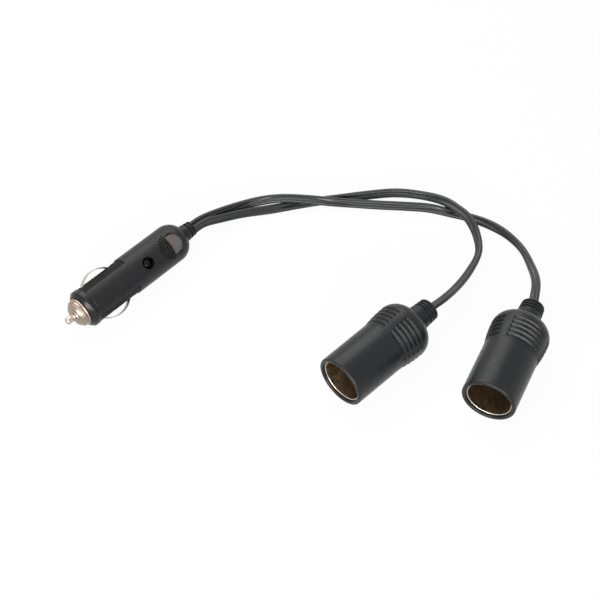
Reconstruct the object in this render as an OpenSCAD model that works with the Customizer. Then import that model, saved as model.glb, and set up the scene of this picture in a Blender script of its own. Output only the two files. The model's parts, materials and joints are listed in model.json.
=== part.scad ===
// Power socket splitter for a car: one fused plug, two flat leads, two sockets.
// Millimetres. The plug lies along X with its nose towards -X, on a floor at z = 0.
// The origin is under the middle of the plug and the sockets together.

/* [Layout] */
// Place of the plug's cable outlet along X
plug_exit_x = 8.1; // [0:0.1:20]
// Place of the plug's axis along Y
plug_exit_y = 94.5; // [85:0.5:105]
// Turn of the plug about its own axis, from the lamp straight up
plug_roll = 42.5; // [0:0.5:42.5]
// Place of the first socket's cable outlet along X
socket_1_exit_x = 43.3; // [35:0.1:55]
// Place of the first socket's cable outlet along Y
socket_1_exit_y = -38.3; // [-45:0.1:-30]
// Heading of the first socket, from mouth to cable
socket_1_heading = -4.5; // [-20:0.5:20]
// Turn of the first socket about its own axis
socket_1_roll = 4; // [-20:1:20]
// Place of the second socket's cable outlet along X
socket_2_exit_x = 79; // [70:0.1:90]
// Place of the second socket's cable outlet along Y
socket_2_exit_y = -76.2; // [-85:0.1:-65]
// Heading of the second socket, from mouth to cable
socket_2_heading = 15; // [0:0.5:30]
// Turn of the second socket about its own axis
socket_2_roll = -25; // [-45:1:45]

/* [Plug shell] */
// Diameter of the plug body
plug_d = 21; // [20.4:0.1:22]
// Length of the shell behind the fuse chamber
shell_rear = 32.7; // [32:0.1:38]
// Wall of the shell round its hollow
shell_wall = 1.8; // [1.5:0.1:2.2]
// Radius that rounds the back of the shell
shell_round = 9; // [7:0.5:9.5]
// Length of the front collar
collar_len = 4.5; // [4:0.1:5]
// Diameter of the front collar
collar_d = 20.6; // [20:0.1:20.8]
// Wall of the front collar
collar_wall = 2; // [1.8:0.1:2.1]
// Chamfer of the front collar
collar_chamfer = 1.8; // [0.6:0.1:1.8]
// Depth of the shallow side channels
channel_depth = 0.5; // [0.3:0.1:0.8]
// Where the side channels end, from the neck
channel_end = 31.5; // [31:0.5:34]
// Half of the angle that the raised back keeps between the channels
spine_half_angle = 42; // [36:1:46]

/* [Thumb pad] */
// Radius of the round thumb pad
pad_r = 7.2; // [6:0.1:7.5]
// Centre of the thumb pad, from the neck
pad_at = 57.3; // [56:0.1:60]
// Depth of the dished rear half of the thumb pad at its front edge
pad_depth = 0.5; // [0.4:0.1:0.8]
// Slope of the dish towards the cable
pad_slope = 3; // [0:0.5:4]
// Number of grip slots across the front half of the pad
grip_count = 5; // [3:1:5]
// Pitch of the grip slots
grip_pitch = 1.4; // [1:0.1:1.4]
// Width of one grip slot
grip_w = 0.6; // [0.4:0.1:0.7]
// Depth of a grip slot
grip_depth = 0.6; // [0.4:0.1:0.9]

/* [Nose] */
// Diameter of the screw cap's body
cap_d = 14.4; // [14:0.1:15]
// Length of the screw cap in front of its washer
cap_len = 3.3; // [3:0.1:4]
// Diameter of the washer under the cap
washer_d = 15.4; // [15:0.1:16]
// Thickness of the washer under the cap
washer_t = 1.1; // [0.8:0.1:1.4]
// Diameter of the cap's screw thread
thread_d = 11.8; // [11.6:0.1:12]
// Length of the cap's screw thread
thread_len = 4; // [3:0.5:4.5]
// Diameter of the centre pin
pin_d = 3.8; // [3.4:0.1:4.2]
// Reach of the centre pin in front of the cap
pin_reach = 4.6; // [4:0.1:6]
// Diameter of the fuse
fuse_d = 6.3; // [6:0.1:6.4]
// Length of the fuse
fuse_len = 30; // [28:0.5:30]
// Length of the spring at rest
spring_len = 8.2; // [7:0.1:8.5]
// Wire of the spring
spring_wire = 0.6; // [0.5:0.05:0.7]
// Turns of the spring
spring_turns = 6; // [5:1:7]

/* [Side contacts] */
// Width of a contact strip
strip_w = 4; // [3.4:0.1:4]
// Thickness of a contact strip
strip_t = 0.4; // [0.3:0.05:0.5]
// Height of the bow above the plug body
bow_rise = 2.8; // [2.2:0.1:2.8]
// Length of the bow
bow_len = 17; // [16:0.5:17.5]
// Start of the bow, from the neck
bow_start = 8; // [7.5:0.1:8.5]
// Travel of a pressed contact
strip_travel = 2.6; // [2:0.1:2.7]

/* [Lamp] */
// Diameter of the lamp's lens
lamp_d = 5; // [4:0.1:5.4]
// Place of the lamp, from the neck
lamp_at = 41; // [40:0.5:42]
// How far the lamp lies below the surface
lamp_sink = 0.6; // [0.4:0.1:1]

/* [Leads] */
// Width of the flat twin lead
lead_w = 5.2; // [4.8:0.1:5.6]
// Thickness of the flat twin lead
lead_t = 2.5; // [2.2:0.1:2.8]
// Diameter of a bared core
core_d = 1.2; // [1:0.1:1.4]

/* [Socket] */
// Bore of the socket
bore_d = 21.4; // [21.2:0.1:21.6]
// Depth of the bore down to its base
bore_depth = 38; // [36:0.5:40]
// Wall of the metal sleeve
sleeve_wall = 0.5; // [0.4:0.05:0.6]
// How far the rolled rim lies behind the lip
rim_recess = 0.8; // [0.4:0.1:1.2]
// Radius of the rolled rim's bead
rim_bead = 0.5; // [0.4:0.05:0.6]
// Wall of the housing round the sleeve at its mouth
mouth_wall = 2.2; // [2:0.1:2.8]
// How far the full ribs stand out beyond the mouth
ribs_rise = 1.5; // [1.2:0.1:2]
// Length of the housing behind its hollow
housing_back = 4.7; // [3.5:0.1:6]
// Length of the flare from the barrel up to the full ribs
flare_len = 13; // [11:0.5:13.5]
// Radius that rounds the back of the housing
housing_round = 8.4; // [8.2:0.1:9.4]
// Number of grooves between the ribs
groove_count = 5; // [4:1:5]
// Pitch of the grooves
groove_pitch = 2.6; // [2.5:0.1:2.7]
// Radius of one round-bottomed groove
groove_r = 0.8; // [0.6:0.1:0.9]
// Width of the smooth bands that interrupt the ribs
band_w = 4.4; // [3.5:0.1:5]

/* [Strain reliefs] */
// Length of the plug's strain relief behind the shell
plug_relief_len = 7.5; // [7:0.5:9]
// Diameter of the plug's strain relief
plug_relief_d = 9.6; // [9.2:0.1:10.4]
// Length of a socket's strain relief behind the housing
relief_len = 12; // [10:0.5:13]
// Diameter of a socket's strain relief at the housing
relief_d = 13.6; // [12.6:0.1:14]
// Diameter of a socket's strain relief at its end
relief_end_d = 11.8; // [10.8:0.1:12]

/* [Hidden] */
$fn = 64;

// Overrun of every cut beyond the face that it opens
cut = 1;
// Running gap between a moving piece and its guide
run_gap = 0.1;
// Gap between a trapped piece and the face that stops it
seat_gap = 0.2;
// Gap round pieces that drop into place
loose_gap = 0.4;

// Plug radii, from the outside in
plug_r = plug_d / 2;
collar_r = collar_d / 2;
neck_r = collar_r - collar_wall;
hollow_r = plug_r - shell_wall;
thread_r = thread_d / 2;
fuse_r = fuse_d / 2;
chamber_r = fuse_r + loose_gap;
chamber_wall = 1.3;
tube_r = chamber_r + chamber_wall;

// Nose: the cap's face, its wall and its skirt, with z = 0 at the shell's neck
cap_face = -washer_t - cap_len;
cap_wall = 1.8;
cap_skirt_wall = 1.6;
cap_boss_r = 3.6;
cap_boss_h = 0.7;
cap_step = 1.5;
cap_step_inset = 0.6;
cap_chamfer = 1.3;
pin_hole_r = pin_d / 2 + run_gap;
pin_flange_r = fuse_r;
pin_flange_t = 1.4;
pin_flange_front = cap_face + cap_wall + run_gap;
pin_tip_chamfer = 0.6;

// Fuse, spring and terminal behind the pin
fuse_front = pin_flange_front + pin_flange_t;
fuse_back = fuse_front + fuse_len;
fuse_cap_len = 6;
fuse_cap_t = 0.3;
fuse_wire_d = 0.4;
fuse_glass_wall = 0.8;
spring_r = fuse_r - spring_wire / 2 - seat_gap;
terminal_front = fuse_back + spring_len;
terminal_t = 1.2;
terminal_pip_r = 1.6;
terminal_pip_h = 1.5;
tube_end = terminal_front + terminal_t;
shell_len = tube_end + shell_rear;

// Hollow at the back of the shell
hollow_front = channel_end + shell_wall;
back_wall = 4.5;
hollow_back = shell_len - back_wall;
// The back of the shell rounds down to the strain relief
shell_end_r = plug_relief_d / 2;
shell_round_angle = acos((shell_end_r - plug_r + shell_round) / shell_round);
shell_round_from = shell_len - shell_round * sin(shell_round_angle);
// The last grip slot ends this share of a pitch in front of the dish
grip_last_share = 0.4;

// Pockets of the side contacts
ear_side = 1.1;
ear_w = strip_w + 2 * ear_side;
ear_len = 1.2;
slot_w = strip_w + 2 * loose_gap;
pocket_w = ear_w + 2 * loose_gap;
bow_back = bow_start + bow_len;
bow_foot_r = plug_r - channel_depth;
bow_height = plug_r + bow_rise - bow_foot_r;
bow_r = (bow_len * bow_len / 4 + bow_height * bow_height) / (2 * bow_height);
bow_half_angle = asin(bow_len / 2 / bow_r);
leg_drop = 1.6;
leg_run = leg_drop / tan(bow_half_angle);
ear_top_r = bow_foot_r - leg_drop;
lip_r = ear_top_r + seat_gap;
pocket_floor_r = ear_top_r - strip_t - strip_travel - seat_gap;
pocket_front = bow_start - leg_run - ear_len - loose_gap;
pocket_back = bow_back + leg_run + ear_len + loose_gap;

// Ground bridge round the chamber, with a tab that each pressed strip comes down on
bridge_w = 3;
bridge_t = 0.6;
bridge_at = bow_start + (bow_len - bridge_w) / 2;
bridge_tab_w = 2.4;
bridge_tab_r = plug_r + bow_rise - strip_t - strip_travel - loose_gap;

// Screw of the shell
screw_at = 47.5;
screw_r = 1.4;
screw_head_r = 2.6;
screw_head_h = 1.8;
screw_sink = 0.8;
screw_len = 13;
boss_wall = 1.3;
screw_boss_r = screw_r + boss_wall;
head_boss_r = screw_head_r + run_gap + boss_wall;
boss_root_r = hollow_r + shell_wall / 2;
screw_head_x = -plug_r + screw_sink;
screw_reach = screw_len + screw_head_x;
head_seat_x = screw_head_x + screw_head_h;
slot_depth = 0.7;
slot_wide = 0.6;

// Lamp
lamp_r = lamp_d / 2;
lamp_foot = tube_r + seat_gap;
lamp_top = plug_r - lamp_sink;
lamp_leg_r = 0.25;
lamp_leg_gap = 1.27;
bezel = 0.8;
resistor_r = 1.1;
resistor_len = 6;
resistor_at = 53;
resistor_off = hollow_r - resistor_r - seat_gap;
lamp_dome_share = 0.5;
lamp_ball_r = lamp_r * (1 + lamp_dome_share * lamp_dome_share) / (2 * lamp_dome_share);
lamp_leg_drop = 2;

// Strain reliefs: a neck through the back wall and a flange inside it
relief_groove_w = 1;
relief_groove_depth = 0.7;
plug_neck_r = 3.9;
plug_flange_r = 5.8;
plug_flange_t = 1.6;
socket_neck_r = 4.6;
socket_flange_r = 7;
socket_flange_t = 2;
relief_round = 1.6;
relief_groove_count = 3;
relief_groove_pitch = 1.9;
relief_groove_r = 0.5;
relief_groove_out = 0.1;
plug_relief_taper_share = 0.86;

// Cores inside the plug and the sockets
core_spread = 2.2;
core_bend = 8;
positive_y = screw_boss_r + core_d;
negative_off = 3;
negative_r = tube_r + core_d / 2 + run_gap;
passage_w = 2 * core_d + 4 * loose_gap;

// Socket, with z = 0 at its mouth
bore_r = bore_d / 2;
sleeve_r = bore_r + sleeve_wall;
mouth_r = sleeve_r + mouth_wall;
ribs_r = mouth_r + ribs_rise;
base_t = 3;
bore_end = rim_recess + bore_depth;
base_end = bore_end + base_t;
rivet_sink = 0.3;
rim_inset = 0.05;
lip_round = 0.9;
barrel_swell = 0.15;
flare_from_r = mouth_r + barrel_swell;
flare_r = (flare_len * flare_len / (ribs_r - flare_from_r) + ribs_r - flare_from_r) / 2;
flare_angle = asin(flare_len / flare_r);
ribs_flat = 0.4;
tabs_room = 5.2;
back_hollow_r = 9;
back_hollow_end = base_end + tabs_room;
housing_len = back_hollow_end + housing_back;
round_angle = acos((relief_d / 2 - ribs_r + housing_round) / housing_round);
round_from = housing_len - housing_round * sin(round_angle);
flare_end = round_from - ribs_flat;
barrel_len = flare_end - flare_len;
groove_first = 1.7;
groove_at = barrel_len + groove_first;
groove_proud = 0.1;
rivet_head_r = 3.2;
rivet_head_h = 1.2;
rivet_r = 1.6;
rivet_tail = 0.6;
tab_w = 4;
tab_t = 0.5;
tab_len = 4;
tab_off = 4;
negative_leg_out = -bore_r - sleeve_wall / 2;
negative_leg_in = negative_leg_out + tab_t;
socket_len = housing_len + relief_len;
// The socket rests on its lip and on its flare, so it tips a little
rest_a = mouth_r - lip_round - ribs_r + flare_r;
rest_b = flare_end - lip_round;
socket_tilt = atan2(rest_b, rest_a) - acos((flare_r - lip_round) / norm([rest_a, rest_b]));
mouth_axis_z = (mouth_r - lip_round) * cos(socket_tilt) + lip_round * (1 - sin(socket_tilt));
exit_axis_z = mouth_axis_z + socket_len * sin(socket_tilt);

// Ring sides and smoothing of the swept leads
lead_sides = 8;
lead_steps = 2;
// Past this slope of a sweep its rings take their sides from another direction
steep = 0.9;
// Route of lead 1 to the first socket: x, y, z, and lean, where 0 lies flat and 90 on edge
lead_1_route = [
    [7.1, 92.5, 10.5, 90], [15.6, 92, 10.3, 88], [26.6, 90, 7, 82], [40.1, 85.5, 3.9, 74],
    [53.1, 78, 2.2, 42], [65.6, 70, 1.6, 20], [76.6, 62, 1.7, 22], [86.6, 53.5, 2.1, 45],
    [97.1, 44.5, 2.7, 75], [108.6, 34, 2.8, 80], [116.6, 22, 2.9, 85], [119.6, 9, 4.8, 50],
    [118.1, -2, 6.4, 30], [116.1, -11, 6.2, 30], [111.1, -20, 4, 55], [102.1, -28, 2.9, 80],
    [88.1, -32.5, 3.6, 78], [71.1, -36.5, 8.4, 70], [54.6, -39.2, 14.6, 62],
    [42.3, -38.2, 15.8, 60]];
// Route of lead 2 to the second socket
lead_2_route = [
    [7.1, 96, 10.5, 90], [15.6, 95.5, 10.4, 88], [28.1, 94.8, 7, 82], [41.1, 91.3, 4.8, 70],
    [52.6, 84, 5.4, 40], [61.1, 76, 6.1, 20], [69.6, 66, 5.6, 22], [77.6, 56, 4.4, 40],
    [86.6, 46, 2.9, 75], [95.1, 34.5, 2.8, 80], [103.6, 23.5, 2.8, 78], [112.1, 12.5, 2.2, 45],
    [117.6, 1, 1.6, 18], [121.6, -9, 1.6, 18], [123.6, -20, 2.2, 45], [123.1, -31.5, 2.8, 80],
    [119.6, -43.5, 3, 88], [110.6, -55, 5.5, 70], [95.1, -67.5, 13.4, 45],
    [78, -76.5, 15.8, 20]];

// Smooth curve through a route, with lead_steps rings to each stretch
function along(a, b, c, d, t) =
    (2 * b + (c - a) * t + (2 * a - 5 * b + 4 * c - d) * t * t
        + (3 * b - a - 3 * c + d) * t * t * t) / 2;
function before(r, i) = i > 0 ? r[i - 1] : 2 * r[0] - r[1];
function after(r, i) = i + 2 < len(r) ? r[i + 2] : 2 * r[i + 1] - r[i];
function smooth_route(r) = concat(
    [for (i = [0 : len(r) - 2], s = [0 : lead_steps - 1])
        along(before(r, i), r[i], r[i + 1], after(r, i), s / lead_steps)],
    [r[len(r) - 1]]);
function place(p) = [p[0], p[1], p[2]];
function unit(v) = v / norm(v);
function heading(r, i) = unit(place(r[min(i + 1, len(r) - 1)]) - place(r[max(i - 1, 0)]));
// One ring: an oval whose long side leans from flat to upright
function ring(p, t, w, h, sides) =
    let (side = unit(cross(abs(t[2]) < steep ? [0, 0, 1] : [0, 1, 0], t)), up = cross(t, side),
        wide = side * cos(p[3]) + up * sin(p[3]), thin = cross(t, wide))
    [for (k = [0 : sides - 1])
        let (a = 360 * (k + 0.5) / sides)
        place(p) + wide * cos(a) * w / 2 + thin * sin(a) * h / 2];
function flat_list(l) = [for (a = l, b = a) b];
function tube_faces(rings, sides) = concat(
    [[for (k = [0 : sides - 1]) k]],
    [for (i = [0 : rings - 2], k = [0 : sides - 1], h = [0, 1])
        let (n = (k + 1) % sides, a = i * sides, b = (i + 1) * sides)
        h == 0 ? [a + k, b + k, a + n] : [a + n, b + k, b + n]],
    [[for (k = [sides - 1 : -1 : 0]) (rings - 1) * sides + k]]);

// The fuse spring's wire: a helix about Z with its ring frames
spring_rings = 8;
spring_sides = 6;
spring_front = fuse_back + spring_wire / 2 + seat_gap;
spring_run = spring_len - spring_wire - 2 * seat_gap;
spring_pitch = spring_run / spring_turns;
function spring_point(i) =
    let (a = 360 * i / spring_rings)
    [spring_r * cos(a), spring_r * sin(a), spring_front + spring_pitch * i / spring_rings];
function spring_ring(i) =
    let (a = 360 * i / spring_rings, out = [cos(a), sin(a), 0],
        t = unit([-spring_r * sin(a) * 2 * PI, spring_r * cos(a) * 2 * PI, spring_pitch]),
        side = cross(t, out))
    [for (k = [0 : spring_sides - 1])
        let (b = 360 * k / spring_sides)
        spring_point(i) + (out * cos(b) + side * sin(b)) * spring_wire / 2];
spring_count = spring_turns * spring_rings + 1;
// Least gap between turns, measured between the wire's points half a turn or more apart
spring_gap = min([for (i = [0 : spring_count - 1], j = [i + spring_rings / 2 : spring_count - 1])
    norm(spring_point(i) - spring_point(j))]) - spring_wire;
echo(least_gap_between_spring_turns = spring_gap);

// A bent wire through a list of points
module wire(points, d) {
    r = [for (p = points) [p[0], p[1], p[2], 0]];
    polyhedron(points = flat_list([for (i = [0 : len(r) - 1])
            ring(r[i], heading(r, i), d, d, lead_sides)]),
        faces = tube_faces(len(r), lead_sides));
}

// Turns a piece drawn along Z, with its face towards +X, onto the plug's place
module at_plug() {
    translate([plug_exit_x, plug_exit_y, plug_r])
        rotate([plug_roll, 0, 0])
            rotate([0, 90, 0])
                rotate([0, 0, 180])
                    translate([0, 0, -shell_len - plug_relief_len])
                        children();
}

// The same for a socket: its cable outlet, heading and roll
module at_socket(exit_x, exit_y, heading, roll) {
    translate([exit_x, exit_y, exit_axis_z])
        rotate([0, 0, heading])
            rotate([0, -socket_tilt, 0])
                rotate([0, 90, 0])
                    rotate([0, 0, 180 + roll])
                        translate([0, 0, -socket_len])
                            children();
}

module at_socket_1() {
    at_socket(socket_1_exit_x, socket_1_exit_y, socket_1_heading, socket_1_roll)
        children();
}

module at_socket_2() {
    at_socket(socket_2_exit_x, socket_2_exit_y, socket_2_heading, socket_2_roll)
        children();
}

// Plain ring between two heights
module ring_solid(r_out, r_in, z_low, z_high) {
    translate([0, 0, z_low])
        difference() {
            cylinder(h = z_high - z_low, r = r_out);
            translate([0, 0, -cut])
                cylinder(h = z_high - z_low + 2 * cut, r = r_in);
        }
}

// Outline of the whole shell: neck, body and rounded back
module shell_outline() {
    round_points = [for (i = [0 : 12])
        let (a = shell_round_angle * i / 12)
        [plug_r - shell_round + shell_round * cos(a),
            shell_round_from + shell_round * sin(a)]];
    polygon(concat([[0, 0], [neck_r, 0], [neck_r, collar_len], [plug_r, collar_len]],
        round_points, [[shell_end_r, shell_len], [0, shell_len]]));
}

module shell_solid() {
    difference() {
        rotate_extrude()
            shell_outline();
        // Screw bore of the nose cap, fuse chamber and the hollow behind it
        translate([0, 0, -cut])
            cylinder(h = thread_len + seat_gap + cut, r = thread_r + run_gap);
        translate([0, 0, -cut])
            cylinder(h = tube_end + 2 * cut, r = chamber_r);
        difference() {
            translate([0, 0, hollow_front])
                cylinder(h = hollow_back - hollow_front, r = hollow_r);
            translate([0, 0, hollow_front - cut])
                cylinder(h = tube_end - hollow_front + cut, r = tube_r);
        }
        translate([0, 0, hollow_back - cut])
            cylinder(h = shell_len - hollow_back + 2 * cut, r = plug_neck_r);
        side_channels();
        for (s = [-1, 1])
            contact_pocket(s);
        ring_solid(tube_r + bridge_t + run_gap, tube_r, bridge_at, bridge_at + bridge_w);
        // Passage of the negative cores to the ground bridge
        translate([-negative_r - passage_w / 4, -passage_w / 2, bridge_at])
            cube([passage_w / 2, passage_w, hollow_front - bridge_at + cut]);
    }
}

// Shallow channels on both flanks, beside the raised back
module side_channels() {
    for (s = [spine_half_angle, 180 + spine_half_angle])
        rotate([0, 0, s])
            rotate_extrude(angle = 180 - 2 * spine_half_angle)
                translate([plug_r - channel_depth, collar_len - cut])
                    square([channel_depth + cut, channel_end - collar_len + cut]);
}

// Slot of one contact strip, wider inside for its ears
module contact_pocket(s) {
    translate([-slot_w / 2, s > 0 ? pocket_floor_r : -plug_r - cut, pocket_front])
        cube([slot_w, plug_r + cut - pocket_floor_r, pocket_back - pocket_front]);
    translate([-pocket_w / 2, s > 0 ? pocket_floor_r : -lip_r, pocket_front])
        cube([pocket_w, lip_r - pocket_floor_r, pocket_back - pocket_front]);
}

// Keeps one side of the parting plane x = 0
module half(s) {
    intersection() {
        children();
        translate([s > 0 ? 0 : -2 * plug_r, -2 * plug_r, -cut])
            cube([2 * plug_r, 4 * plug_r, shell_len + 2 * cut]);
    }
}

// Dished rear half of the round thumb pad: its floor follows the body, deeper towards the cable
module pad_dish() {
    difference() {
        intersection() {
            translate([0, 0, pad_at])
                rotate([0, 90, 0])
                    cylinder(h = plug_r + cut, r = pad_r);
            translate([0, -pad_r - cut, pad_at])
                cube([plug_r + cut, 2 * (pad_r + cut), pad_r + cut]);
        }
        translate([0, 0, pad_at])
            rotate([0, -pad_slope, 0])
                cylinder(h = 4 * pad_r, r = plug_r - pad_depth, center = true);
    }
}

// Grip slots across the front half of the pad
module pad_slots() {
    intersection() {
        translate([0, 0, pad_at])
            rotate([0, 90, 0])
                cylinder(h = plug_r + cut, r = pad_r);
        union()
            for (i = [0 : grip_count - 1])
                ring_solid(plug_r + cut, plug_r - grip_depth,
                    pad_at - grip_pitch * (i + grip_last_share) - grip_w,
                    pad_at - grip_pitch * (i + grip_last_share));
    }
}

module plug_shell_upper() {
    color("#36363a")
        at_plug()
            difference() {
                union() {
                    half(1)
                        shell_solid();
                    // Boss that takes the screw's thread
                    translate([0, 0, screw_at])
                        rotate([0, 90, 0])
                            cylinder(h = boss_root_r, r = screw_boss_r);
                }
                pad_dish();
                pad_slots();
                // Lamp window, with a wider counterbore as its bezel
                translate([lamp_foot, 0, lamp_at])
                    rotate([0, 90, 0])
                        cylinder(h = plug_r, r = lamp_r + run_gap);
                translate([hollow_r, 0, lamp_at])
                    rotate([0, 90, 0])
                        translate([0, 0, shell_wall - lamp_sink])
                            cylinder(h = plug_r, r = lamp_r + bezel);
                // Thread hole of the screw
                translate([-cut, 0, screw_at])
                    rotate([0, 90, 0])
                        cylinder(h = screw_reach + cut, r = screw_r);
            }
}

module plug_shell_lower() {
    color("#303033")
        at_plug()
            difference() {
                union() {
                    half(-1)
                        shell_solid();
                    translate([-boss_root_r, 0, screw_at])
                        rotate([0, 90, 0]) {
                            cylinder(h = boss_root_r, r = screw_boss_r);
                            cylinder(h = head_seat_x + boss_root_r + boss_wall, r = head_boss_r);
                        }
                }
                // Clearance hole of the screw and the recess of its head
                translate([-plug_r - cut, 0, screw_at])
                    rotate([0, 90, 0])
                        cylinder(h = plug_r + 2 * cut, r = screw_r + run_gap);
                translate([-plug_r - cut, 0, screw_at])
                    rotate([0, 90, 0])
                        cylinder(h = head_seat_x + plug_r + cut, r = screw_head_r + run_gap);
            }
}

module shell_screw() {
    color("#8c8f93")
        at_plug()
            translate([screw_head_x, 0, screw_at])
                rotate([0, 90, 0])
                    difference() {
                        union() {
                            cylinder(h = screw_head_h, r = screw_head_r);
                            cylinder(h = screw_len, r = screw_r);
                        }
                        for (a = [0, 90])
                            rotate([0, 0, a])
                                translate([-screw_head_r, -slot_wide / 2, -cut])
                                    cube([2 * screw_head_r, slot_wide, slot_depth + cut]);
                    }
}

module front_collar() {
    color("#2b2b30")
        at_plug()
            rotate_extrude()
                polygon([[neck_r, 0], [collar_r - collar_chamfer, 0],
                    [collar_r, collar_chamfer], [collar_r, collar_len], [neck_r, collar_len]]);
}

module cap_washer() {
    color("#d8cfc4")
        at_plug()
            ring_solid(washer_d / 2, thread_r + run_gap, -washer_t, 0);
}

// Stepped screw cap with a boss round the pin
module nose_cap() {
    cap_r = cap_d / 2;
    color("#cfc0b0")
        at_plug()
            rotate_extrude()
                polygon([[pin_hole_r, cap_face - cap_boss_h], [cap_boss_r, cap_face - cap_boss_h],
                    [cap_boss_r, cap_face], [cap_r - cap_step_inset - cap_chamfer, cap_face],
                    [cap_r - cap_step_inset, cap_face + cap_chamfer],
                    [cap_r - cap_step_inset, -washer_t - cap_step],
                    [cap_r, -washer_t - cap_step], [cap_r, -washer_t], [thread_r, -washer_t],
                    [thread_r, thread_len], [thread_r - cap_skirt_wall, thread_len],
                    [thread_r - cap_skirt_wall, cap_face + cap_wall],
                    [pin_hole_r, cap_face + cap_wall]]);
}

module centre_pin() {
    pin_r = pin_d / 2;
    tip = cap_face - cap_boss_h - pin_reach;
    color("#e4ddd4")
        at_plug()
            rotate_extrude()
                polygon([[0, tip], [pin_r - pin_tip_chamfer, tip], [pin_r, tip + pin_tip_chamfer],
                    [pin_r, pin_flange_front], [pin_flange_r, pin_flange_front],
                    [pin_flange_r, fuse_front], [0, fuse_front]]);
}

module fuse_glass() {
    color("#dfe8ea")
        at_plug()
            ring_solid(fuse_r - fuse_cap_t, fuse_r - fuse_cap_t - fuse_glass_wall,
                fuse_front + fuse_cap_t, fuse_back - fuse_cap_t);
}

module fuse_end_caps() {
    color("#c9ccce")
        at_plug()
            for (e = [0, 1])
                translate([0, 0, e == 0 ? fuse_front : fuse_back])
                    mirror([0, 0, e])
                        difference() {
                            cylinder(h = fuse_cap_len, r = fuse_r);
                            translate([0, 0, fuse_cap_t])
                                cylinder(h = fuse_cap_len, r = fuse_r - fuse_cap_t);
                        }
}

module fuse_element() {
    color("#b9bcbf")
        at_plug()
            translate([0, 0, fuse_front + fuse_cap_t])
                cylinder(h = fuse_len - 2 * fuse_cap_t, d = fuse_wire_d, $fn = 24);
}

module fuse_spring() {
    color("#b5b8bb")
        at_plug()
            polyhedron(points = flat_list([for (i = [0 : spring_count - 1]) spring_ring(i)]),
                faces = tube_faces(spring_count, spring_sides));
}

// Brass disc that closes the chamber, with a pip that centres the spring
module spring_terminal() {
    color("#b99b53")
        at_plug() {
            translate([0, 0, terminal_front])
                cylinder(h = terminal_t, r = chamber_r);
            translate([0, 0, terminal_front - terminal_pip_h])
                cylinder(h = terminal_pip_h, r = terminal_pip_r);
            // Tabs for the positive cores, behind the end of the chamber
            translate([-tab_w / 2, -positive_y - core_d, tube_end])
                cube([tab_w, 2 * (positive_y + core_d), tab_t]);
        }
}

// Bowed strip: an arc with a short leg and a wide ear at each end
module contact_strip() {
    arc_z = bow_start + bow_len / 2;
    arc_y = bow_foot_r + bow_height - bow_r;
    rotate([0, 0, 90])
        rotate([90, 0, 0])
            translate([0, 0, -strip_w / 2])
                linear_extrude(strip_w)
                    strip_outline(arc_z, arc_y);
    for (z = [bow_start - leg_run - ear_len, bow_back + leg_run])
        translate([-ear_w / 2, ear_top_r - strip_t, z])
            cube([ear_w, strip_t, ear_len]);
}

// Side view of the strip, radius across and length up
module strip_outline(arc_z, arc_y) {
    steps = 24;
    function arc(r) = [for (i = [0 : steps])
        let (a = bow_half_angle * (2 * i / steps - 1))
        [arc_y + r * cos(a), arc_z + r * sin(a)]];
    front = [[ear_top_r, bow_start - leg_run]];
    back = [[ear_top_r, bow_back + leg_run]];
    inner_front = [[ear_top_r - strip_t, bow_start - leg_run]];
    inner_back = [[ear_top_r - strip_t, bow_back + leg_run]];
    inner = arc(bow_r - strip_t);
    polygon(concat(front, arc(bow_r), back, inner_back,
        [for (i = [steps : -1 : 0]) inner[i]], inner_front));
}

module side_contact_far() {
    color("#c6c8c4")
        at_plug()
            mirror([0, 1, 0])
                contact_strip();
}

module side_contact_near() {
    color("#c6c8c4")
        at_plug()
            contact_strip();
}

module ground_bridge() {
    color("#b99b53")
        at_plug() {
            ring_solid(tube_r + bridge_t, tube_r, bridge_at, bridge_at + bridge_w);
            for (s = [-1, 1])
                scale([1, s, 1])
                    translate([-bridge_tab_w / 2, tube_r + bridge_t / 2, bridge_at])
                        cube([bridge_tab_w, bridge_tab_r - tube_r - bridge_t / 2, bridge_w]);
        }
}

module indicator_led() {
    color("#141416")
        at_plug() {
            translate([lamp_foot, 0, lamp_at])
                rotate([0, 90, 0]) {
                    cylinder(h = lamp_top - lamp_foot - lamp_r * lamp_dome_share, r = lamp_r);
                    translate([0, 0, lamp_top - lamp_foot - lamp_ball_r])
                        intersection() {
                            sphere(r = lamp_ball_r);
                            cylinder(h = lamp_ball_r, r = lamp_r);
                        }
                }
            for (s = [-1, 1])
                wire([[lamp_foot, s * lamp_leg_gap, lamp_at],
                    [lamp_foot - lamp_leg_drop, s * lamp_leg_gap, lamp_at]], 2 * lamp_leg_r);
        }
}

module led_resistor() {
    color("#c8b48a")
        at_plug()
            translate([resistor_off, 0, resistor_at]) {
                cylinder(h = resistor_len, r = resistor_r);
                translate([0, 0, resistor_len])
                    cylinder(h = core_d, r = lamp_leg_r);
            }
}

// Ridged sleeve: flange inside the shell, neck through its back wall, ribbed tail
module plug_strain_relief() {
    r = plug_relief_d / 2;
    color("#232628")
        at_plug()
            difference() {
                union() {
                    translate([0, 0, hollow_back - plug_flange_t])
                        cylinder(h = plug_flange_t, r = plug_flange_r);
                    translate([0, 0, hollow_back - plug_flange_t])
                        cylinder(h = back_wall + plug_flange_t + cut, r = plug_neck_r);
                    translate([0, 0, shell_len])
                        cylinder(h = plug_relief_len, r1 = r, r2 = r * plug_relief_taper_share);
                }
                for (i = [0 : 1])
                    ring_solid(r + cut, r * plug_relief_taper_share - relief_groove_depth,
                        shell_len + plug_relief_len - relief_groove_w * (2 * i + 2),
                        shell_len + plug_relief_len - relief_groove_w * (2 * i + 1));
            }
}

module plug_positive_cores() {
    color("#9c3b34")
        at_plug()
            for (s = [-1, 1])
                wire([[0, s * core_spread, hollow_back - plug_flange_t],
                    [0, s * core_spread, hollow_back - plug_flange_t - core_d],
                    [0, s * positive_y, hollow_back - plug_flange_t - core_bend],
                    [0, s * positive_y, tube_end + tab_t]], core_d);
}

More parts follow.
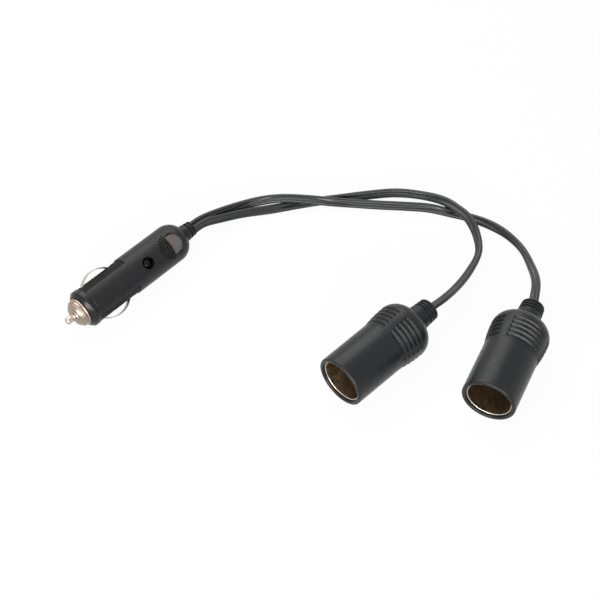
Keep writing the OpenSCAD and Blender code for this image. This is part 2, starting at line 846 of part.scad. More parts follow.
module plug_negative_cores() {
    start = hollow_back - plug_flange_t;
    beside = core_d / 2 + run_gap;
    color("#232326")
        at_plug()
            for (s = [-1, 1])
                wire([[-core_spread, s * core_d, start],
                    [-core_spread, s * core_d, start - core_d],
                    [-negative_off, s * positive_y, start - core_bend],
                    [-negative_off, s * positive_y, screw_at - screw_boss_r],
                    [-negative_r, s * beside, tube_end + core_d],
                    [-negative_r, s * beside, bridge_at + bridge_w]], core_d);
}

module lead_tube(route) {
    r = smooth_route(route);
    polyhedron(points = flat_list([for (i = [0 : len(r) - 1])
            ring(r[i], heading(r, i), lead_w, lead_t, lead_sides)]),
        faces = tube_faces(len(r), lead_sides));
}

module lead_1() {
    color("#2a2b2c")
        lead_tube(lead_1_route);
}

module lead_2() {
    color("#2a2b2c")
        lead_tube(lead_2_route);
}

// Outline of a socket housing: lip, barrel, flare and rounded back
module housing_outline() {
    lip_points = [for (a = [0 : 15 : 90])
        [mouth_r - lip_round + lip_round * sin(a), lip_round - lip_round * cos(a)]];
    flare_points = [for (i = [0 : 6])
        let (a = flare_angle * (1 - i / 6))
        [ribs_r - flare_r + flare_r * cos(a), flare_end - flare_r * sin(a)]];
    round_points = [for (i = [0 : 12])
        let (a = round_angle * i / 12)
        [ribs_r - housing_round + housing_round * cos(a), round_from + housing_round * sin(a)]];
    polygon(concat([[0, 0]], lip_points, flare_points, round_points, [[0, housing_len]]));
}

// Grooves of one quarter of the housing, between two smooth bands
module grooves() {
    band_angle = 2 * asin(band_w / 2 / ribs_r);
    for (q = [0 : 3])
        rotate([0, 0, 90 * q + band_angle / 2])
            rotate_extrude(angle = 90 - band_angle)
                for (i = [0 : groove_count - 1])
                    translate([groove_top_r(i) + groove_proud, groove_at + groove_pitch * i])
                        circle(r = groove_r, $fn = 24);
}
// Radius of the flare where groove i is cut
function groove_top_r(i) =
    let (before_end = max(0, flare_end - groove_at - groove_pitch * i))
    ribs_r - flare_r + sqrt(flare_r * flare_r - before_end * before_end);

module housing() {
    color("#3b3b3e")
        difference() {
            rotate_extrude()
                housing_outline();
            translate([0, 0, -cut])
                cylinder(h = base_end + tab_t + cut, r = sleeve_r);
            // Seat of the rolled rim
            translate([0, 0, -cut])
                cylinder(h = rim_recess + rim_bead + cut, r = sleeve_r + 2 * rim_bead);
            translate([0, 0, base_end - cut])
                cylinder(h = back_hollow_end - base_end + cut, r = back_hollow_r);
            translate([0, 0, back_hollow_end - cut])
                cylinder(h = housing_len, r = socket_neck_r);
            grooves();
        }
}

// Steel barrel with a rolled rim
module sleeve() {
    color("#e6dfd0")
        union() {
            ring_solid(sleeve_r, bore_r, rim_recess, bore_end);
            translate([0, 0, rim_recess])
                rotate_extrude()
                    translate([bore_r + rim_bead + rim_inset, 0])
                        circle(r = rim_bead, $fn = 24);
        }
}

// Disc behind the sleeve, with a seat for the contact and a notch for the negative tab
module base() {
    color("#4a3526")
        difference() {
            translate([0, 0, bore_end])
                cylinder(h = base_t, r = sleeve_r);
            translate([0, 0, bore_end - cut])
                cylinder(h = base_t + 2 * cut, r = rivet_r);
            translate([0, 0, bore_end - cut])
                cylinder(h = rivet_sink + rivet_head_h + cut, r = rivet_head_r + loose_gap);
            translate([-sleeve_r - cut, -tab_w / 2 - run_gap, bore_end - cut])
                cube([negative_leg_in - negative_leg_out + run_gap + cut + sleeve_wall / 2,
                    tab_w + 2 * run_gap, base_t + 2 * cut]);
        }
}

module centre_contact() {
    color("#b99b53") {
        translate([0, 0, bore_end + rivet_sink])
            cylinder(h = rivet_head_h, r1 = rivet_head_r - rivet_head_h, r2 = rivet_head_r);
        translate([0, 0, bore_end + rivet_sink + rivet_head_h])
            cylinder(h = base_t - rivet_sink - rivet_head_h + tab_t + rivet_tail, r = rivet_r);
    }
}

module positive_tab() {
    color("#b99b53")
        difference() {
            translate([-tab_w / 2, -tab_w / 2, base_end])
                cube([tab_w + tab_len, tab_w, tab_t]);
            translate([0, 0, base_end - cut])
                cylinder(h = tab_t + 2 * cut, r = rivet_r);
        }
}

// Tab that starts at the sleeve's end, passes the base in its notch and turns inwards behind it
module negative_tab() {
    color("#b5b8bb") {
        translate([negative_leg_out, -tab_w / 2, bore_end])
            cube([negative_leg_in - negative_leg_out, tab_w, base_t + tab_t]);
        translate([negative_leg_out, -tab_w / 2, base_end])
            cube([tab_len + tab_off, tab_w, tab_t]);
    }
}

// Cores from the tabs to the strain relief
module socket_cores() {
    end = back_hollow_end - socket_flange_t;
    color("#232326")
        for (x = [tab_len, -tab_len - tab_off / 2])
            wire([[x, 0, base_end + tab_t], [x, 0, base_end + tab_t + core_d],
                [sign(x) * core_spread, 0, end - core_d],
                [sign(x) * core_spread, 0, end]], core_d);
}

module socket_relief() {
    r = relief_d / 2;
    end_r = relief_end_d / 2;
    color("#26292b")
        difference() {
            union() {
                translate([0, 0, back_hollow_end - socket_flange_t])
                    cylinder(h = socket_flange_t, r = socket_flange_r);
                translate([0, 0, back_hollow_end - socket_flange_t])
                    cylinder(h = housing_len - back_hollow_end + socket_flange_t + cut,
                        r = socket_neck_r);
                rotate_extrude()
                    polygon(concat([[0, housing_len], [r, housing_len]],
                        [for (a = [0 : 15 : 90])
                            [end_r - relief_round + relief_round * cos(a),
                                socket_len - relief_round + relief_round * sin(a)]],
                        [[0, socket_len]]));
            }
            rotate_extrude()
                for (i = [0 : relief_groove_count - 1])
                    translate([end_r + relief_groove_out,
                        socket_len - relief_round - relief_groove_pitch * i])
                        circle(r = relief_groove_r, $fn = 24);
        }
}

module socket_1_housing() {
    at_socket_1() housing();
}

module socket_1_sleeve() {
    at_socket_1() sleeve();
}

module socket_1_base() {
    at_socket_1() base();
}

module socket_1_centre_contact() {
    at_socket_1() centre_contact();
}

module socket_1_positive_tab() {
    at_socket_1() positive_tab();
}

module socket_1_negative_tab() {
    at_socket_1() negative_tab();
}

module socket_1_strain_relief() {
    at_socket_1() socket_relief();
}

module socket_1_cores() {
    at_socket_1() socket_cores();
}

module socket_2_housing() {
    at_socket_2() housing();
}

module socket_2_sleeve() {
    at_socket_2() sleeve();
}

module socket_2_base() {
    at_socket_2() base();
}

module socket_2_centre_contact() {
    at_socket_2() centre_contact();
}

module socket_2_positive_tab() {
    at_socket_2() positive_tab();
}

module socket_2_negative_tab() {
    at_socket_2() negative_tab();
}

module socket_2_strain_relief() {
    at_socket_2() socket_relief();
}

module socket_2_cores() {
    at_socket_2() socket_cores();
}

plug_shell_upper();
plug_shell_lower();
shell_screw();
front_collar();
cap_washer();
nose_cap();
centre_pin();
fuse_glass();
fuse_end_caps();
fuse_element();
fuse_spring();
spring_terminal();
side_contact_far();
side_contact_near();
ground_bridge();
indicator_led();
led_resistor();
plug_strain_relief();
plug_positive_cores();
plug_negative_cores();
lead_1();
lead_2();
socket_1_housing();
socket_1_sleeve();
socket_1_base();
socket_1_centre_contact();
socket_1_positive_tab();
socket_1_negative_tab();
socket_1_strain_relief();
socket_1_cores();
socket_2_housing();
socket_2_sleeve();
socket_2_base();
socket_2_centre_contact();
socket_2_positive_tab();
socket_2_negative_tab();
socket_2_strain_relief();
socket_2_cores();
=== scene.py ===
"""Looks of the power socket splitter: one fused plug, two flat leads and two sockets.

Sizes are millimetres in each piece's own frame, and each frame's matrix turns them into metres.
"""
import json
from math import acos, asin, cos, degrees, hypot, pi, radians, sin, sqrt, tan, tau

import bmesh
import bpy
from mathutils import Matrix, Vector

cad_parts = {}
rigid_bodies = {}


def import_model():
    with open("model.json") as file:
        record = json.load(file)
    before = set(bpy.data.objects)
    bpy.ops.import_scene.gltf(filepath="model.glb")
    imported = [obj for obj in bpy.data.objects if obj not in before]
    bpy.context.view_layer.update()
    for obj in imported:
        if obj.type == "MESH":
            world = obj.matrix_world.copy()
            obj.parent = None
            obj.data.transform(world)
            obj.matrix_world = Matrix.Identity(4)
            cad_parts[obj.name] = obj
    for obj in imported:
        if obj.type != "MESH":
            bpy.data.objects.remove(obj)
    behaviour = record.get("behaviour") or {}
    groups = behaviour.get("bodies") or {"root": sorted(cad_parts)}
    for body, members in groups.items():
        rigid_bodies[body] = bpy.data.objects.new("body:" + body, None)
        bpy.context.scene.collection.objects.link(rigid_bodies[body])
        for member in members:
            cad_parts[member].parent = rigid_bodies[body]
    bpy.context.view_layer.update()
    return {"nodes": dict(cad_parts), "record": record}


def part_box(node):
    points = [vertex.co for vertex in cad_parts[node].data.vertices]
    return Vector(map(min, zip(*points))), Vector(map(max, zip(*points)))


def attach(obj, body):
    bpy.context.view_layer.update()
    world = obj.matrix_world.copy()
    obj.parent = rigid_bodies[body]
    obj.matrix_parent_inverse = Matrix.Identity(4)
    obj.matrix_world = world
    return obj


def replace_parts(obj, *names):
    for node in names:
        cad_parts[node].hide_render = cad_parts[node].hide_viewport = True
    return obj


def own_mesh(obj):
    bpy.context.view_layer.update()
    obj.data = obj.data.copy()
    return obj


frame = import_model()
MM = 0.001

# Fits, overruns and fineness that all pieces share
FIT_GAP = 0.1
OVERRUN = 1.0
SHARP_ANGLE = 35.0
FILLET_STEPS = 4
FILLET_REACH_SHARE = 0.49
BIG_SIDES = 160
RELIEF_SIDES = 120
SMALL_SIDES = 96
# Width of a sharp step in a turned surface, along the axis and round it in degrees
EDGE = 0.05
EDGE_ANGLE = 0.15

# Camera: where the photograph was taken from
VIEW_ELEVATION = 49.0
VIEW_HEADING = 41.5
VIEW_DISTANCE = 600.0
VIEW_TARGET = (15.1, 22.9, 0.0)
LENS = 69.18
SENSOR = 36.0
CLIP_START_M = 0.01

# Finishes: the noise values between which colour and gloss change, and the noise's detail
MOTTLE_SPAN = (0.3, 0.7)
MOTTLE_DETAIL = 4
GLOSS_SPAN = (0.25, 0.75)
GLOSS_DETAIL = 3
SMEARS_PER_MOTTLE = 3
LEAST_ROUGHNESS = 0.02
GRAIN_DETAIL = 2
GRAIN_WIDTHS_PER_DEPTH = 4
BEVEL_SAMPLES = 4
SCRATCH_STRETCH = (0.05, 1, 1)
SCRATCH_W = 0.2
SCRATCH_DEPTH = 0.02

# Plug shell, with z = 0 at its neck and x towards the lamp
PLUG_ROLL = 42.5
PLUG_R = 10.5
SHELL_LEN = 71.0
SHELL_ROUND = 9.0
SHELL_WALL = 1.8
SHELL_CHAMFER = 0.15
SHELL_COLUMN_ANGLE = 1.5
SHELL_ROW = 1.5
SHELL_ARC_STEPS = 24
SEAM_DEPTH = 0.2
NECK_R = 8.3
CHANNEL_DEPTH = 0.5
CHANNEL_END = 31.5
SPINE_HALF_ANGLE = 42.0
CHAMBER_R = 3.55
TUBE_R = 4.85
TUBE_END = 38.3
HOLLOW_FRONT = 33.3
HOLLOW_BACK = 66.5

# Thumb pad: a dished rear half and grip slots across the front half
PAD_R = 7.2
PAD_AT = 57.3
PAD_DEPTH = 0.5
PAD_SLOPE = 3.0
PAD_STEPS = 60
DISH_CUT = 3.0
DISH_CUT_FROM = 2.0
DISH_FLOOR_SIDES = 180
GRIP_COUNT = 5
GRIP_PITCH = 1.4
GRIP_W = 0.6
GRIP_DEPTH = 0.6
GRIP_LIP = 0.4
GRIP_LAST_SHARE = 0.4
GRIP_STEPS = 12

# Margins within which a face of the shell counts as channel, skin, bezel or dish
CHANNEL_MARGIN = 0.06
SKIN_MARGIN = 0.05
EDGE_MARGIN = 0.02
DISH_FACING = 0.9

# Collar and nose
COLLAR_LEN = 4.5
COLLAR_R = 10.3
COLLAR_CHAMFER = 1.8
WASHER_R = 7.7
WASHER_T = 1.1
SEAT_GAP = 0.03
THREAD_R = 5.9
THREAD_LEN = 4.0
THREAD_END_GAP = 0.2
CAP_R = 7.2
CAP_LEN = 3.3
CAP_LIP = 0.7
CAP_LIP_R = 3.6
CAP_LIP_FOOT_R = 3.9
CAP_FACE_INSET = 1.9
CAP_SLOPE_LEN = 1.2
CAP_SLOPE_INSET = 0.7
CAP_BODY_INSET = 0.6
CAP_FLANGE = 1.5
CAP_WALL = 1.6
CAP_FACE_T = 1.8
PIN_R = 1.9
PIN_REACH = 4.6
PIN_ROUND = 1.1
PIN_HEAD = 3.2
PIN_HEAD_FOOT = 3.4
PIN_WAIST = 0.3
PIN_WAIST_END = 1.2
PIN_GUIDE = 0.9
PIN_FLANGE_AT = 1.9
PIN_FLANGE_R = 3.15
PIN_FLANGE_T = 1.4

# Fuse spring
SPRING_WIRE = 0.6
SPRING_TURNS = 6
SPRING_STEPS = 32
SPRING_SIDES = 12
SPRING_SHARP_ANGLE = 50.0

# Bowed side contacts, and the pocket that each goes in
BOW_RISE = 2.8
BOW_LEN = 17.0
BOW_START = 8.0
BOW_STEPS = 48
STRIP_W = 4.0
STRIP_T = 0.4
STRIP_CORNER = 0.12
EAR_DROP = 1.6
EAR_LEN = 1.2
EAR_STEP = 0.15
EAR_EXTRA_W = 2.2
POCKET_FLOOR = 5.2
POCKET_LIP = 8.6
POCKET_REACH = 3.35
POCKET_GAP = 0.4
POCKET_SIDE = 1.5
POCKET_INSET = 0.02

# Lamp and its bezel
LAMP_R = 2.5
LAMP_AT = 41.0
LAMP_SINK = 0.6
LAMP_TALL = 4.8
LAMP_BALL_SHARE = 1.25
LAMP_STEPS = 16
LAMP_SIDES = 72
BEZEL = 0.8
BEZEL_DEPTH = 0.8
BEZEL_CORNER = 0.1
WINDOW_CUT = 8.0

# Plug strain relief, with its foot inside the shell
PLUG_NECK_R = 3.9
PLUG_RELIEF_LEN = 7.5
PLUG_RELIEF_R = 4.8
PLUG_RELIEF_END_SHARE = 0.86
PLUG_RELIEF_FOOT = 6.1
PLUG_RELIEF_FOOT_R = 5.8
PLUG_RELIEF_RING = 1.0
RELIEF_GROOVE_DEPTH = 0.7

# Socket, with z = 0 at its mouth
SOCKET_ROLLS = (4.0, -25.0)
MOUTH_R = 13.4
RIBS_R = 14.9
BORE_R = 10.7
SLEEVE_R = 11.2
RIM_RECESS = 0.8
RIM_SUNK = 0.5
RIM_BEAD = 0.5
RIM_ROLL_SHARE = 0.6
RIM_ROLL_STEPS = 12
# Length of bore inside the rim that takes the rim's painted highlight
RIM_HIGHLIGHT_LEN = 0.8
BORE_END = 38.8
BASE_END = 41.8
BASE_GAP = 0.5
LIP_ROUND = 0.9
LIP_STEPS = 8
BARREL_SWELL = 0.15
BARREL_ROWS = 12
FLARE_LEN = 13.0
FLARE_END = 0.4
FLARE_ROW = 0.13
HOUSING_LEN = 51.7
HOUSING_ROUND = 8.4
HOUSING_SIDES = 300
HOUSING_ARC_STEPS = 28
HOUSING_SHARP_ANGLE = 50.0
GROOVE_COUNT = 5
GROOVE_FIRST = 1.7
GROOVE_PITCH = 2.6
GROOVE_HALF = 1.2
GROOVE_FLOOR = 0.35
GROOVE_DEPTH = 0.85
BAND_W = 4.4
BAND_EDGE = 0.5
SOCKET_NECK_R = 4.6
BACK_HOLLOW_R = 9.0
BACK_HOLLOW_END = 47.0
RELIEF_LEN = 12.0
RELIEF_R = 6.8
RELIEF_END_R = 5.9
RELIEF_FOOT = 2.0
RELIEF_FOOT_R = 7.0
RELIEF_GROOVES = 3
RELIEF_GROOVE_END = 1.6
RELIEF_GROOVE_PITCH = 1.9
RELIEF_GROOVE_HALF = 0.5
RELIEF_GROOVE_FLOOR = 0.35
ROUND_ANGLE = acos((RELIEF_R - RIBS_R + HOUSING_ROUND) / HOUSING_ROUND)
ROUND_FROM = HOUSING_LEN - HOUSING_ROUND * sin(ROUND_ANGLE)
BARREL_LEN = ROUND_FROM - FLARE_END - FLARE_LEN

# Stage: the pale floor and world, and each lamp's name, heading and elevation in degrees,
# distance and size in metres, and power in watts
FLOOR_HALF_M = 6.0
FLOOR_COLOUR = (0.86, 0.86, 0.86, 1)
FLOOR_GLOW = 0.94
WORLD_ON_OBJECT = 0.25
WORLD_SEEN = 1.0
LAMPS = [("back", 60, 48, 0.9, (1.1, 0.6), 5),
         ("front", -150, 20, 0.9, (1.2, 0.35), 14),
         ("top", 150, 75, 0.9, (0.5, 0.5), 1.5)]

# Flat twin lead. The routes are the solid model's, as (x, y, z, lean): the lean is 0 where the
# lead lies flat and 90 where it stands on edge, and follows the width that the photograph shows.
LEAD_W = 5.2
LEAD_T = 2.5
LEAD_STEPS = 10
LOBE_STEPS = 18
WEB_SHARE = 0.62
LEAD_1_ROUTE = [
    (7.1, 92.5, 10.5, 90), (15.6, 92, 10.3, 88), (26.6, 90, 7, 82), (40.1, 85.5, 3.9, 74),
    (53.1, 78, 2.2, 42), (65.6, 70, 1.6, 20), (76.6, 62, 1.7, 22), (86.6, 53.5, 2.1, 45),
    (97.1, 44.5, 2.7, 58), (108.6, 34, 2.8, 58), (116.6, 22, 2.9, 70), (119.6, 9, 4.8, 50),
    (118.1, -2, 6.4, 30), (116.1, -11, 6.2, 30), (111.1, -20, 4, 55), (102.1, -28, 2.9, 60),
    (88.1, -32.5, 3.6, 38), (71.1, -36.5, 8.4, 28), (54.6, -39.2, 14.6, 26),
    (42.3, -38.2, 15.8, 26)]
LEAD_2_ROUTE = [
    (7.1, 96, 10.5, 90), (15.6, 95.5, 10.4, 88), (28.1, 94.8, 7, 82), (41.1, 91.3, 4.8, 70),
    (52.6, 84, 5.4, 40), (61.1, 76, 6.1, 20), (69.6, 66, 5.6, 22), (77.6, 56, 4.4, 40),
    (86.6, 46, 2.9, 58), (95.1, 34.5, 2.8, 58), (103.6, 23.5, 2.8, 58), (112.1, 12.5, 2.2, 45),
    (117.6, 1, 1.6, 18), (121.6, -9, 1.6, 18), (123.6, -20, 2.2, 45), (123.1, -31.5, 2.8, 80),
    (119.6, -43.5, 3, 88), (110.6, -55, 5.5, 70), (95.1, -67.5, 13.4, 45),
    (78, -76.5, 15.8, 20)]

MOUNTS = {m["name"]: m for m in frame["record"]["mounts"]}


# Camera

def view_direction():
    """Unit vector from the target to the camera."""
    e, h = radians(VIEW_ELEVATION), radians(VIEW_HEADING)
    return Vector((-cos(e) * cos(h), -cos(e) * sin(h), sin(e)))


def add_camera():
    """The photograph's camera."""
    data = bpy.data.cameras.new("camera")
    data.lens = LENS
    data.sensor_width = SENSOR
    data.clip_start = CLIP_START_M
    camera = linked("camera", data)
    back = view_direction()
    camera.location = (Vector(VIEW_TARGET) + VIEW_DISTANCE * back) * MM
    camera.rotation_euler = (-back).to_track_quat("-Z", "Y").to_euler()
    bpy.context.scene.camera = camera


# Materials

def linear(hex_colour):
    """Linear colour of a hex colour such as 4a4a4a."""
    values = [int(hex_colour[i:i + 2], 16) / 255 for i in (0, 2, 4)]
    return tuple(v / 12.92 if v <= 0.04045 else ((v + 0.055) / 1.055) ** 2.4
                 for v in values) + (1,)


def shaded(colour, share):
    """The colour made darker or lighter by a share, fully opaque."""
    return tuple(min(1, c * share) for c in colour[:3]) + (1,)


def finish_material(name, colour, roughness, metallic=0.0, mottle=0.12, mottle_mm=6.0,
                    smear=0.08, grain_mm=0.35, grain=0.12, edge_mm=0.15, scratches=0.0, **sockets):
    """A moulded, plated or turned finish: mottled colour, uneven gloss, fine grain, soft edges.

    Other keywords set the shader's sockets of those names.
    """
    mat = bpy.data.materials.new(name)
    mat.use_nodes = True
    nodes, links = mat.node_tree.nodes, mat.node_tree.links
    shader = nodes["Principled BSDF"]
    shader.inputs["Metallic"].default_value = metallic
    for socket, value in sockets.items():
        shader.inputs[socket.replace("_", " ")].default_value = value
    place = nodes.new("ShaderNodeTexCoord").outputs["Object"]

    def noise(size_mm, detail):
        node = nodes.new("ShaderNodeTexNoise")
        node.inputs["Scale"].default_value = 1 / (size_mm * MM)
        node.inputs["Detail"].default_value = detail
        links.new(place, node.inputs["Vector"])
        return node.outputs["Fac"]

    base = linear(colour)
    ramp = nodes.new("ShaderNodeValToRGB")
    shares = (1 - mottle, 1 + mottle)
    for element, position, share in zip(ramp.color_ramp.elements, MOTTLE_SPAN, shares):
        element.position = position
        element.color = shaded(base, share)
    links.new(noise(mottle_mm, MOTTLE_DETAIL), ramp.inputs["Fac"])
    links.new(ramp.outputs["Color"], shader.inputs["Base Color"])

    gloss = nodes.new("ShaderNodeMapRange")
    gloss.inputs["From Min"].default_value = GLOSS_SPAN[0]
    gloss.inputs["From Max"].default_value = GLOSS_SPAN[1]
    gloss.inputs["To Min"].default_value = max(LEAST_ROUGHNESS, roughness - smear)
    gloss.inputs["To Max"].default_value = min(1, roughness + smear)
    links.new(noise(mottle_mm / SMEARS_PER_MOTTLE, GLOSS_DETAIL), gloss.inputs["Value"])
    links.new(gloss.outputs["Result"], shader.inputs["Roughness"])

    edge = nodes.new("ShaderNodeBevel")
    edge.samples = BEVEL_SAMPLES
    edge.inputs["Radius"].default_value = edge_mm * MM
    bump = nodes.new("ShaderNodeBump")
    bump.inputs["Strength"].default_value = grain
    bump.inputs["Distance"].default_value = grain_mm * MM / GRAIN_WIDTHS_PER_DEPTH
    links.new(noise(grain_mm, GRAIN_DETAIL), bump.inputs["Height"])
    links.new(edge.outputs["Normal"], bump.inputs["Normal"])
    normal = bump
    if scratches:
        stretch = nodes.new("ShaderNodeMapping")
        stretch.inputs["Scale"].default_value = SCRATCH_STRETCH
        links.new(place, stretch.inputs["Vector"])
        lines = nodes.new("ShaderNodeTexNoise")
        lines.inputs["Scale"].default_value = 1 / (SCRATCH_W * MM)
        links.new(stretch.outputs["Vector"], lines.inputs["Vector"])
        normal = nodes.new("ShaderNodeBump")
        normal.inputs["Strength"].default_value = scratches
        normal.inputs["Distance"].default_value = SCRATCH_DEPTH * MM
        links.new(lines.outputs["Fac"], normal.inputs["Height"])
        links.new(bump.outputs["Normal"], normal.inputs["Normal"])
    links.new(normal.outputs["Normal"], shader.inputs["Normal"])
    return mat


def make_materials():
    """All the finishes by short name, each with its colour and roughness."""
    plastic = {"Specular_IOR_Level": 0.25, "grain": 0.35, "grain_mm": 0.5}
    rubber = {"Specular_IOR_Level": 0.28, "grain": 0.35, "grain_mm": 0.5}
    return {
        "shell": finish_material("shell_plastic", "161618", 0.38, **plastic),
        "shell_back": finish_material("shell_back_plastic", "161618", 0.4, **plastic),
        # Channel and grip slots: darker than the shell, painted shade in these recesses
        "channel": finish_material("channel_painted_shade_plastic", "101011", 0.6, grain=0.9, grain_mm=0.6,
                                   mottle=0.3, Specular_IOR_Level=0.15),
        # Pad: its warm grey is partly the dish's own colour and partly a painted highlight of the dish
        # catching light
        "pad": finish_material("pad_grey_painted_highlight_plastic", "5a5552", 0.55, grain=0.3, Specular_IOR_Level=0.25),
        "bezel": finish_material("bezel_plastic", "070708", 0.15, grain=0.0,
                                 Specular_IOR_Level=0.2),
        "collar": finish_material("collar_plastic", "0e0e10", 0.28, grain=0.15,
                                  Specular_IOR_Level=0.3),
        "housing": finish_material("housing_plastic", "131416", 0.33, **rubber),
        "relief": finish_material("relief_rubber", "18191b", 0.45, grain=0.35,
                                  Specular_IOR_Level=0.25),
        "lead": finish_material("lead_jacket", "17181a", 0.32, grain=0.25, mottle=0.18,
                                Specular_IOR_Level=0.45),
        "cap": finish_material("cap_nickel", "9c8d81", 0.3, 1.0, mottle=0.12, scratches=0.3),
        "washer": finish_material("washer_nickel", "b3a598", 0.26, 1.0, mottle=0.08,
                                  scratches=0.2),
        "pin": finish_material("pin_nickel", "b9aca3", 0.24, 1.0, mottle=0.08, scratches=0.2),
        "contact": finish_material("contact_nickel", "b4b4af", 0.4, 1.0, mottle=0.08,
                                   scratches=0.3),
        "lamp": finish_material("lamp_lens", "040405", 0.04, mottle=0.05, grain=0.0,
                                Specular_IOR_Level=0.15),
        "sleeve": finish_material("sleeve_steel", "8a7358", 0.45, 1.0, mottle=0.25, scratches=0.4),
        # Rim: much lighter than the sleeve, a painted highlight on the rolled rim and the bore just
        # inside it
        "rim": finish_material("rim_painted_highlight_steel", "ddd0bf", 0.3, 1.0, mottle=0.03, grain=0.0),
        "base": finish_material("base_board", "3f2d20", 0.6, mottle=0.2, grain=0.3),
        "brass": finish_material("brass", "b99b53", 0.3, 1.0, mottle=0.08, scratches=0.3),
        "dull_brass": finish_material("dull_brass", "75684a", 0.45, 1.0, mottle=0.15,
                                      scratches=0.3),
        "steel": finish_material("bright_steel", "b5b8bb", 0.3, 1.0, mottle=0.06, scratches=0.3),
        "glass": finish_material("fuse_glass", "e8f0f0", 0.05, mottle=0.02, grain=0.0,
                                 Transmission_Weight=0.9),
        "red": finish_material("core_red", "8d2f28", 0.5, grain=0.2),
        "black": finish_material("core_black", "1e1e20", 0.5, grain=0.2),
        "resistor": finish_material("resistor_body", "c8b48a", 0.55, grain=0.2),
    }


# Frames and meshes

def frame_at(origin, direction, roll):
    """Matrix of a piece's frame: z along the direction, x upright and turned by the roll."""
    z = Vector(direction).normalized()
    x = (Vector((0, 0, 1)) - z * z.z).normalized()
    y = z.cross(x)
    turn = Matrix((x, y, z)).transposed().to_4x4()
    return (Matrix.Translation(Vector(origin)) @ turn @ Matrix.Rotation(radians(roll), 4, "Z")
            @ Matrix.Scale(MM, 4))


def plug_frame():
    """The plug's frame, from its body mount, which lies halfway along the collar."""
    mount = MOUNTS["plug_body"]
    middle = (COLLAR_CHAMFER + COLLAR_LEN) / 2 * MM
    axis = Vector(mount["axis"])
    return frame_at(Vector(mount["pos_m"]) + axis * middle, -axis, PLUG_ROLL)


def socket_frame(number):
    """A socket's frame, from its bore mount, which lies halfway along the bore."""
    mount = MOUNTS["socket_%d_bore" % number]
    axis = Vector(mount["axis"])
    mouth = Vector(mount["pos_m"]) + axis * (mount["dims"]["length_mm"] / 2 + RIM_RECESS) * MM
    return frame_at(mouth, -axis, SOCKET_ROLLS[number - 1])


def linked(name, data):
    """A new object of the scene."""
    obj = bpy.data.objects.new(name, data)
    bpy.context.scene.collection.objects.link(obj)
    return obj


def new_piece(name, verts, faces, place, material, body, sharp=SHARP_ANGLE):
    """Makes an object of one mesh that rides on a body."""
    mesh = bpy.data.meshes.new(name)
    mesh.from_pydata([place @ Vector(v) for v in verts], [], faces)
    mesh.validate()
    obj = linked(name, mesh)
    mesh.materials.append(material)
    smooth(obj, sharp)
    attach(obj, body)
    return obj


def smooth(obj, sharp=SHARP_ANGLE):
    """Smooth shading, with edges over the angle kept sharp, and faces turned outwards."""
    bm = bmesh.new()
    bm.from_mesh(obj.data)
    bmesh.ops.recalc_face_normals(bm, faces=bm.faces)
    for face in bm.faces:
        face.smooth = True
    for edge in bm.edges:
        edge.smooth = len(edge.link_faces) < 2 or edge.calc_face_angle(0) < radians(sharp)
    bm.to_mesh(obj.data)
    bm.free()


def rounded(corners, steps=FILLET_STEPS):
    """Outline of (r, z) points from corners (r, z, fillet radius), each turned by an arc."""
    points = []
    count = len(corners)
    for i, (r, z, fillet) in enumerate(corners):
        here = Vector((r, z))
        if fillet <= 0:
            points.append((r, z))
            continue
        before = Vector(corners[i - 1][:2]) - here
        after = Vector(corners[(i + 1) % count][:2]) - here
        half = before.angle(after) / 2
        reach = min(fillet / tan(half), before.length * FILLET_REACH_SHARE,
                    after.length * FILLET_REACH_SHARE)
        radius = reach * tan(half)
        inward = (before.normalized() + after.normalized()).normalized()
        centre = here + inward * radius / sin(half)
        start = here + before.normalized() * reach - centre
        end = here + after.normalized() * reach - centre
        sweep = start.angle_signed(end)
        for k in range(steps + 1):
            arm = start.copy()
            arm.rotate(Matrix.Rotation(-sweep * k / steps, 2))
            points.append(tuple(centre + arm))
    return points


def arc(centre_r, centre_z, radius, start, end, steps):
    """Points of an arc in an outline; angles in degrees, 0 outwards and 90 along z."""
    return [(centre_r + radius * cos(radians(start + (end - start) * k / steps)),
             centre_z + radius * sin(radians(start + (end - start) * k / steps)))
            for k in range(steps + 1)]


def lathe(outline, sides=None, shape=None, angles=None):
    """Turns an outline of (r, z) points; shape(r, z, angle) may move each point's radius.

    A list of angles in degrees, in place of sides, makes a part turn with flat ends.
    """
    whole = angles is None
    turns = [tau * k / sides for k in range(sides)] if whole else [radians(a) for a in angles]
    columns = len(turns)
    verts, rings = [], []
    for r, z in outline:
        if r <= 0:
            rings.append([len(verts)] * columns)
            verts.append((0, 0, z))
            continue
        rings.append(list(range(len(verts), len(verts) + columns)))
        for angle in turns:
            radius = shape(r, z, angle) if shape else r
            verts.append((radius * cos(angle), radius * sin(angle), z))
    faces = []
    last = len(rings) if outline[0][0] > 0 or outline[-1][0] > 0 else len(rings) - 1
    for i in range(last):
        a, b = rings[i], rings[(i + 1) % len(rings)]
        for k in range(columns if whole else columns - 1):
            n = (k + 1) % columns
            face = [a[k], a[n], b[n], b[k]]
            face = [v for j, v in enumerate(face) if v != face[j - 1]]
            if len(face) > 2:
                faces.append(face)
    if not whole:
        faces.append([ring[0] for ring in rings])
        faces.append([ring[-1] for ring in reversed(rings)])
    return verts, faces


def finer(outline, step):
    """The outline with no straight stretch longer than step."""
    points = []
    for i, (r, z) in enumerate(outline):
        points.append((r, z))
        r2, z2 = outline[(i + 1) % len(outline)]
        extra = int(hypot(r2 - r, z2 - z) / step)
        points += [(r + (r2 - r) * k / (extra + 1), z + (z2 - z) * k / (extra + 1))
                   for k in range(1, extra + 1)]
    return points


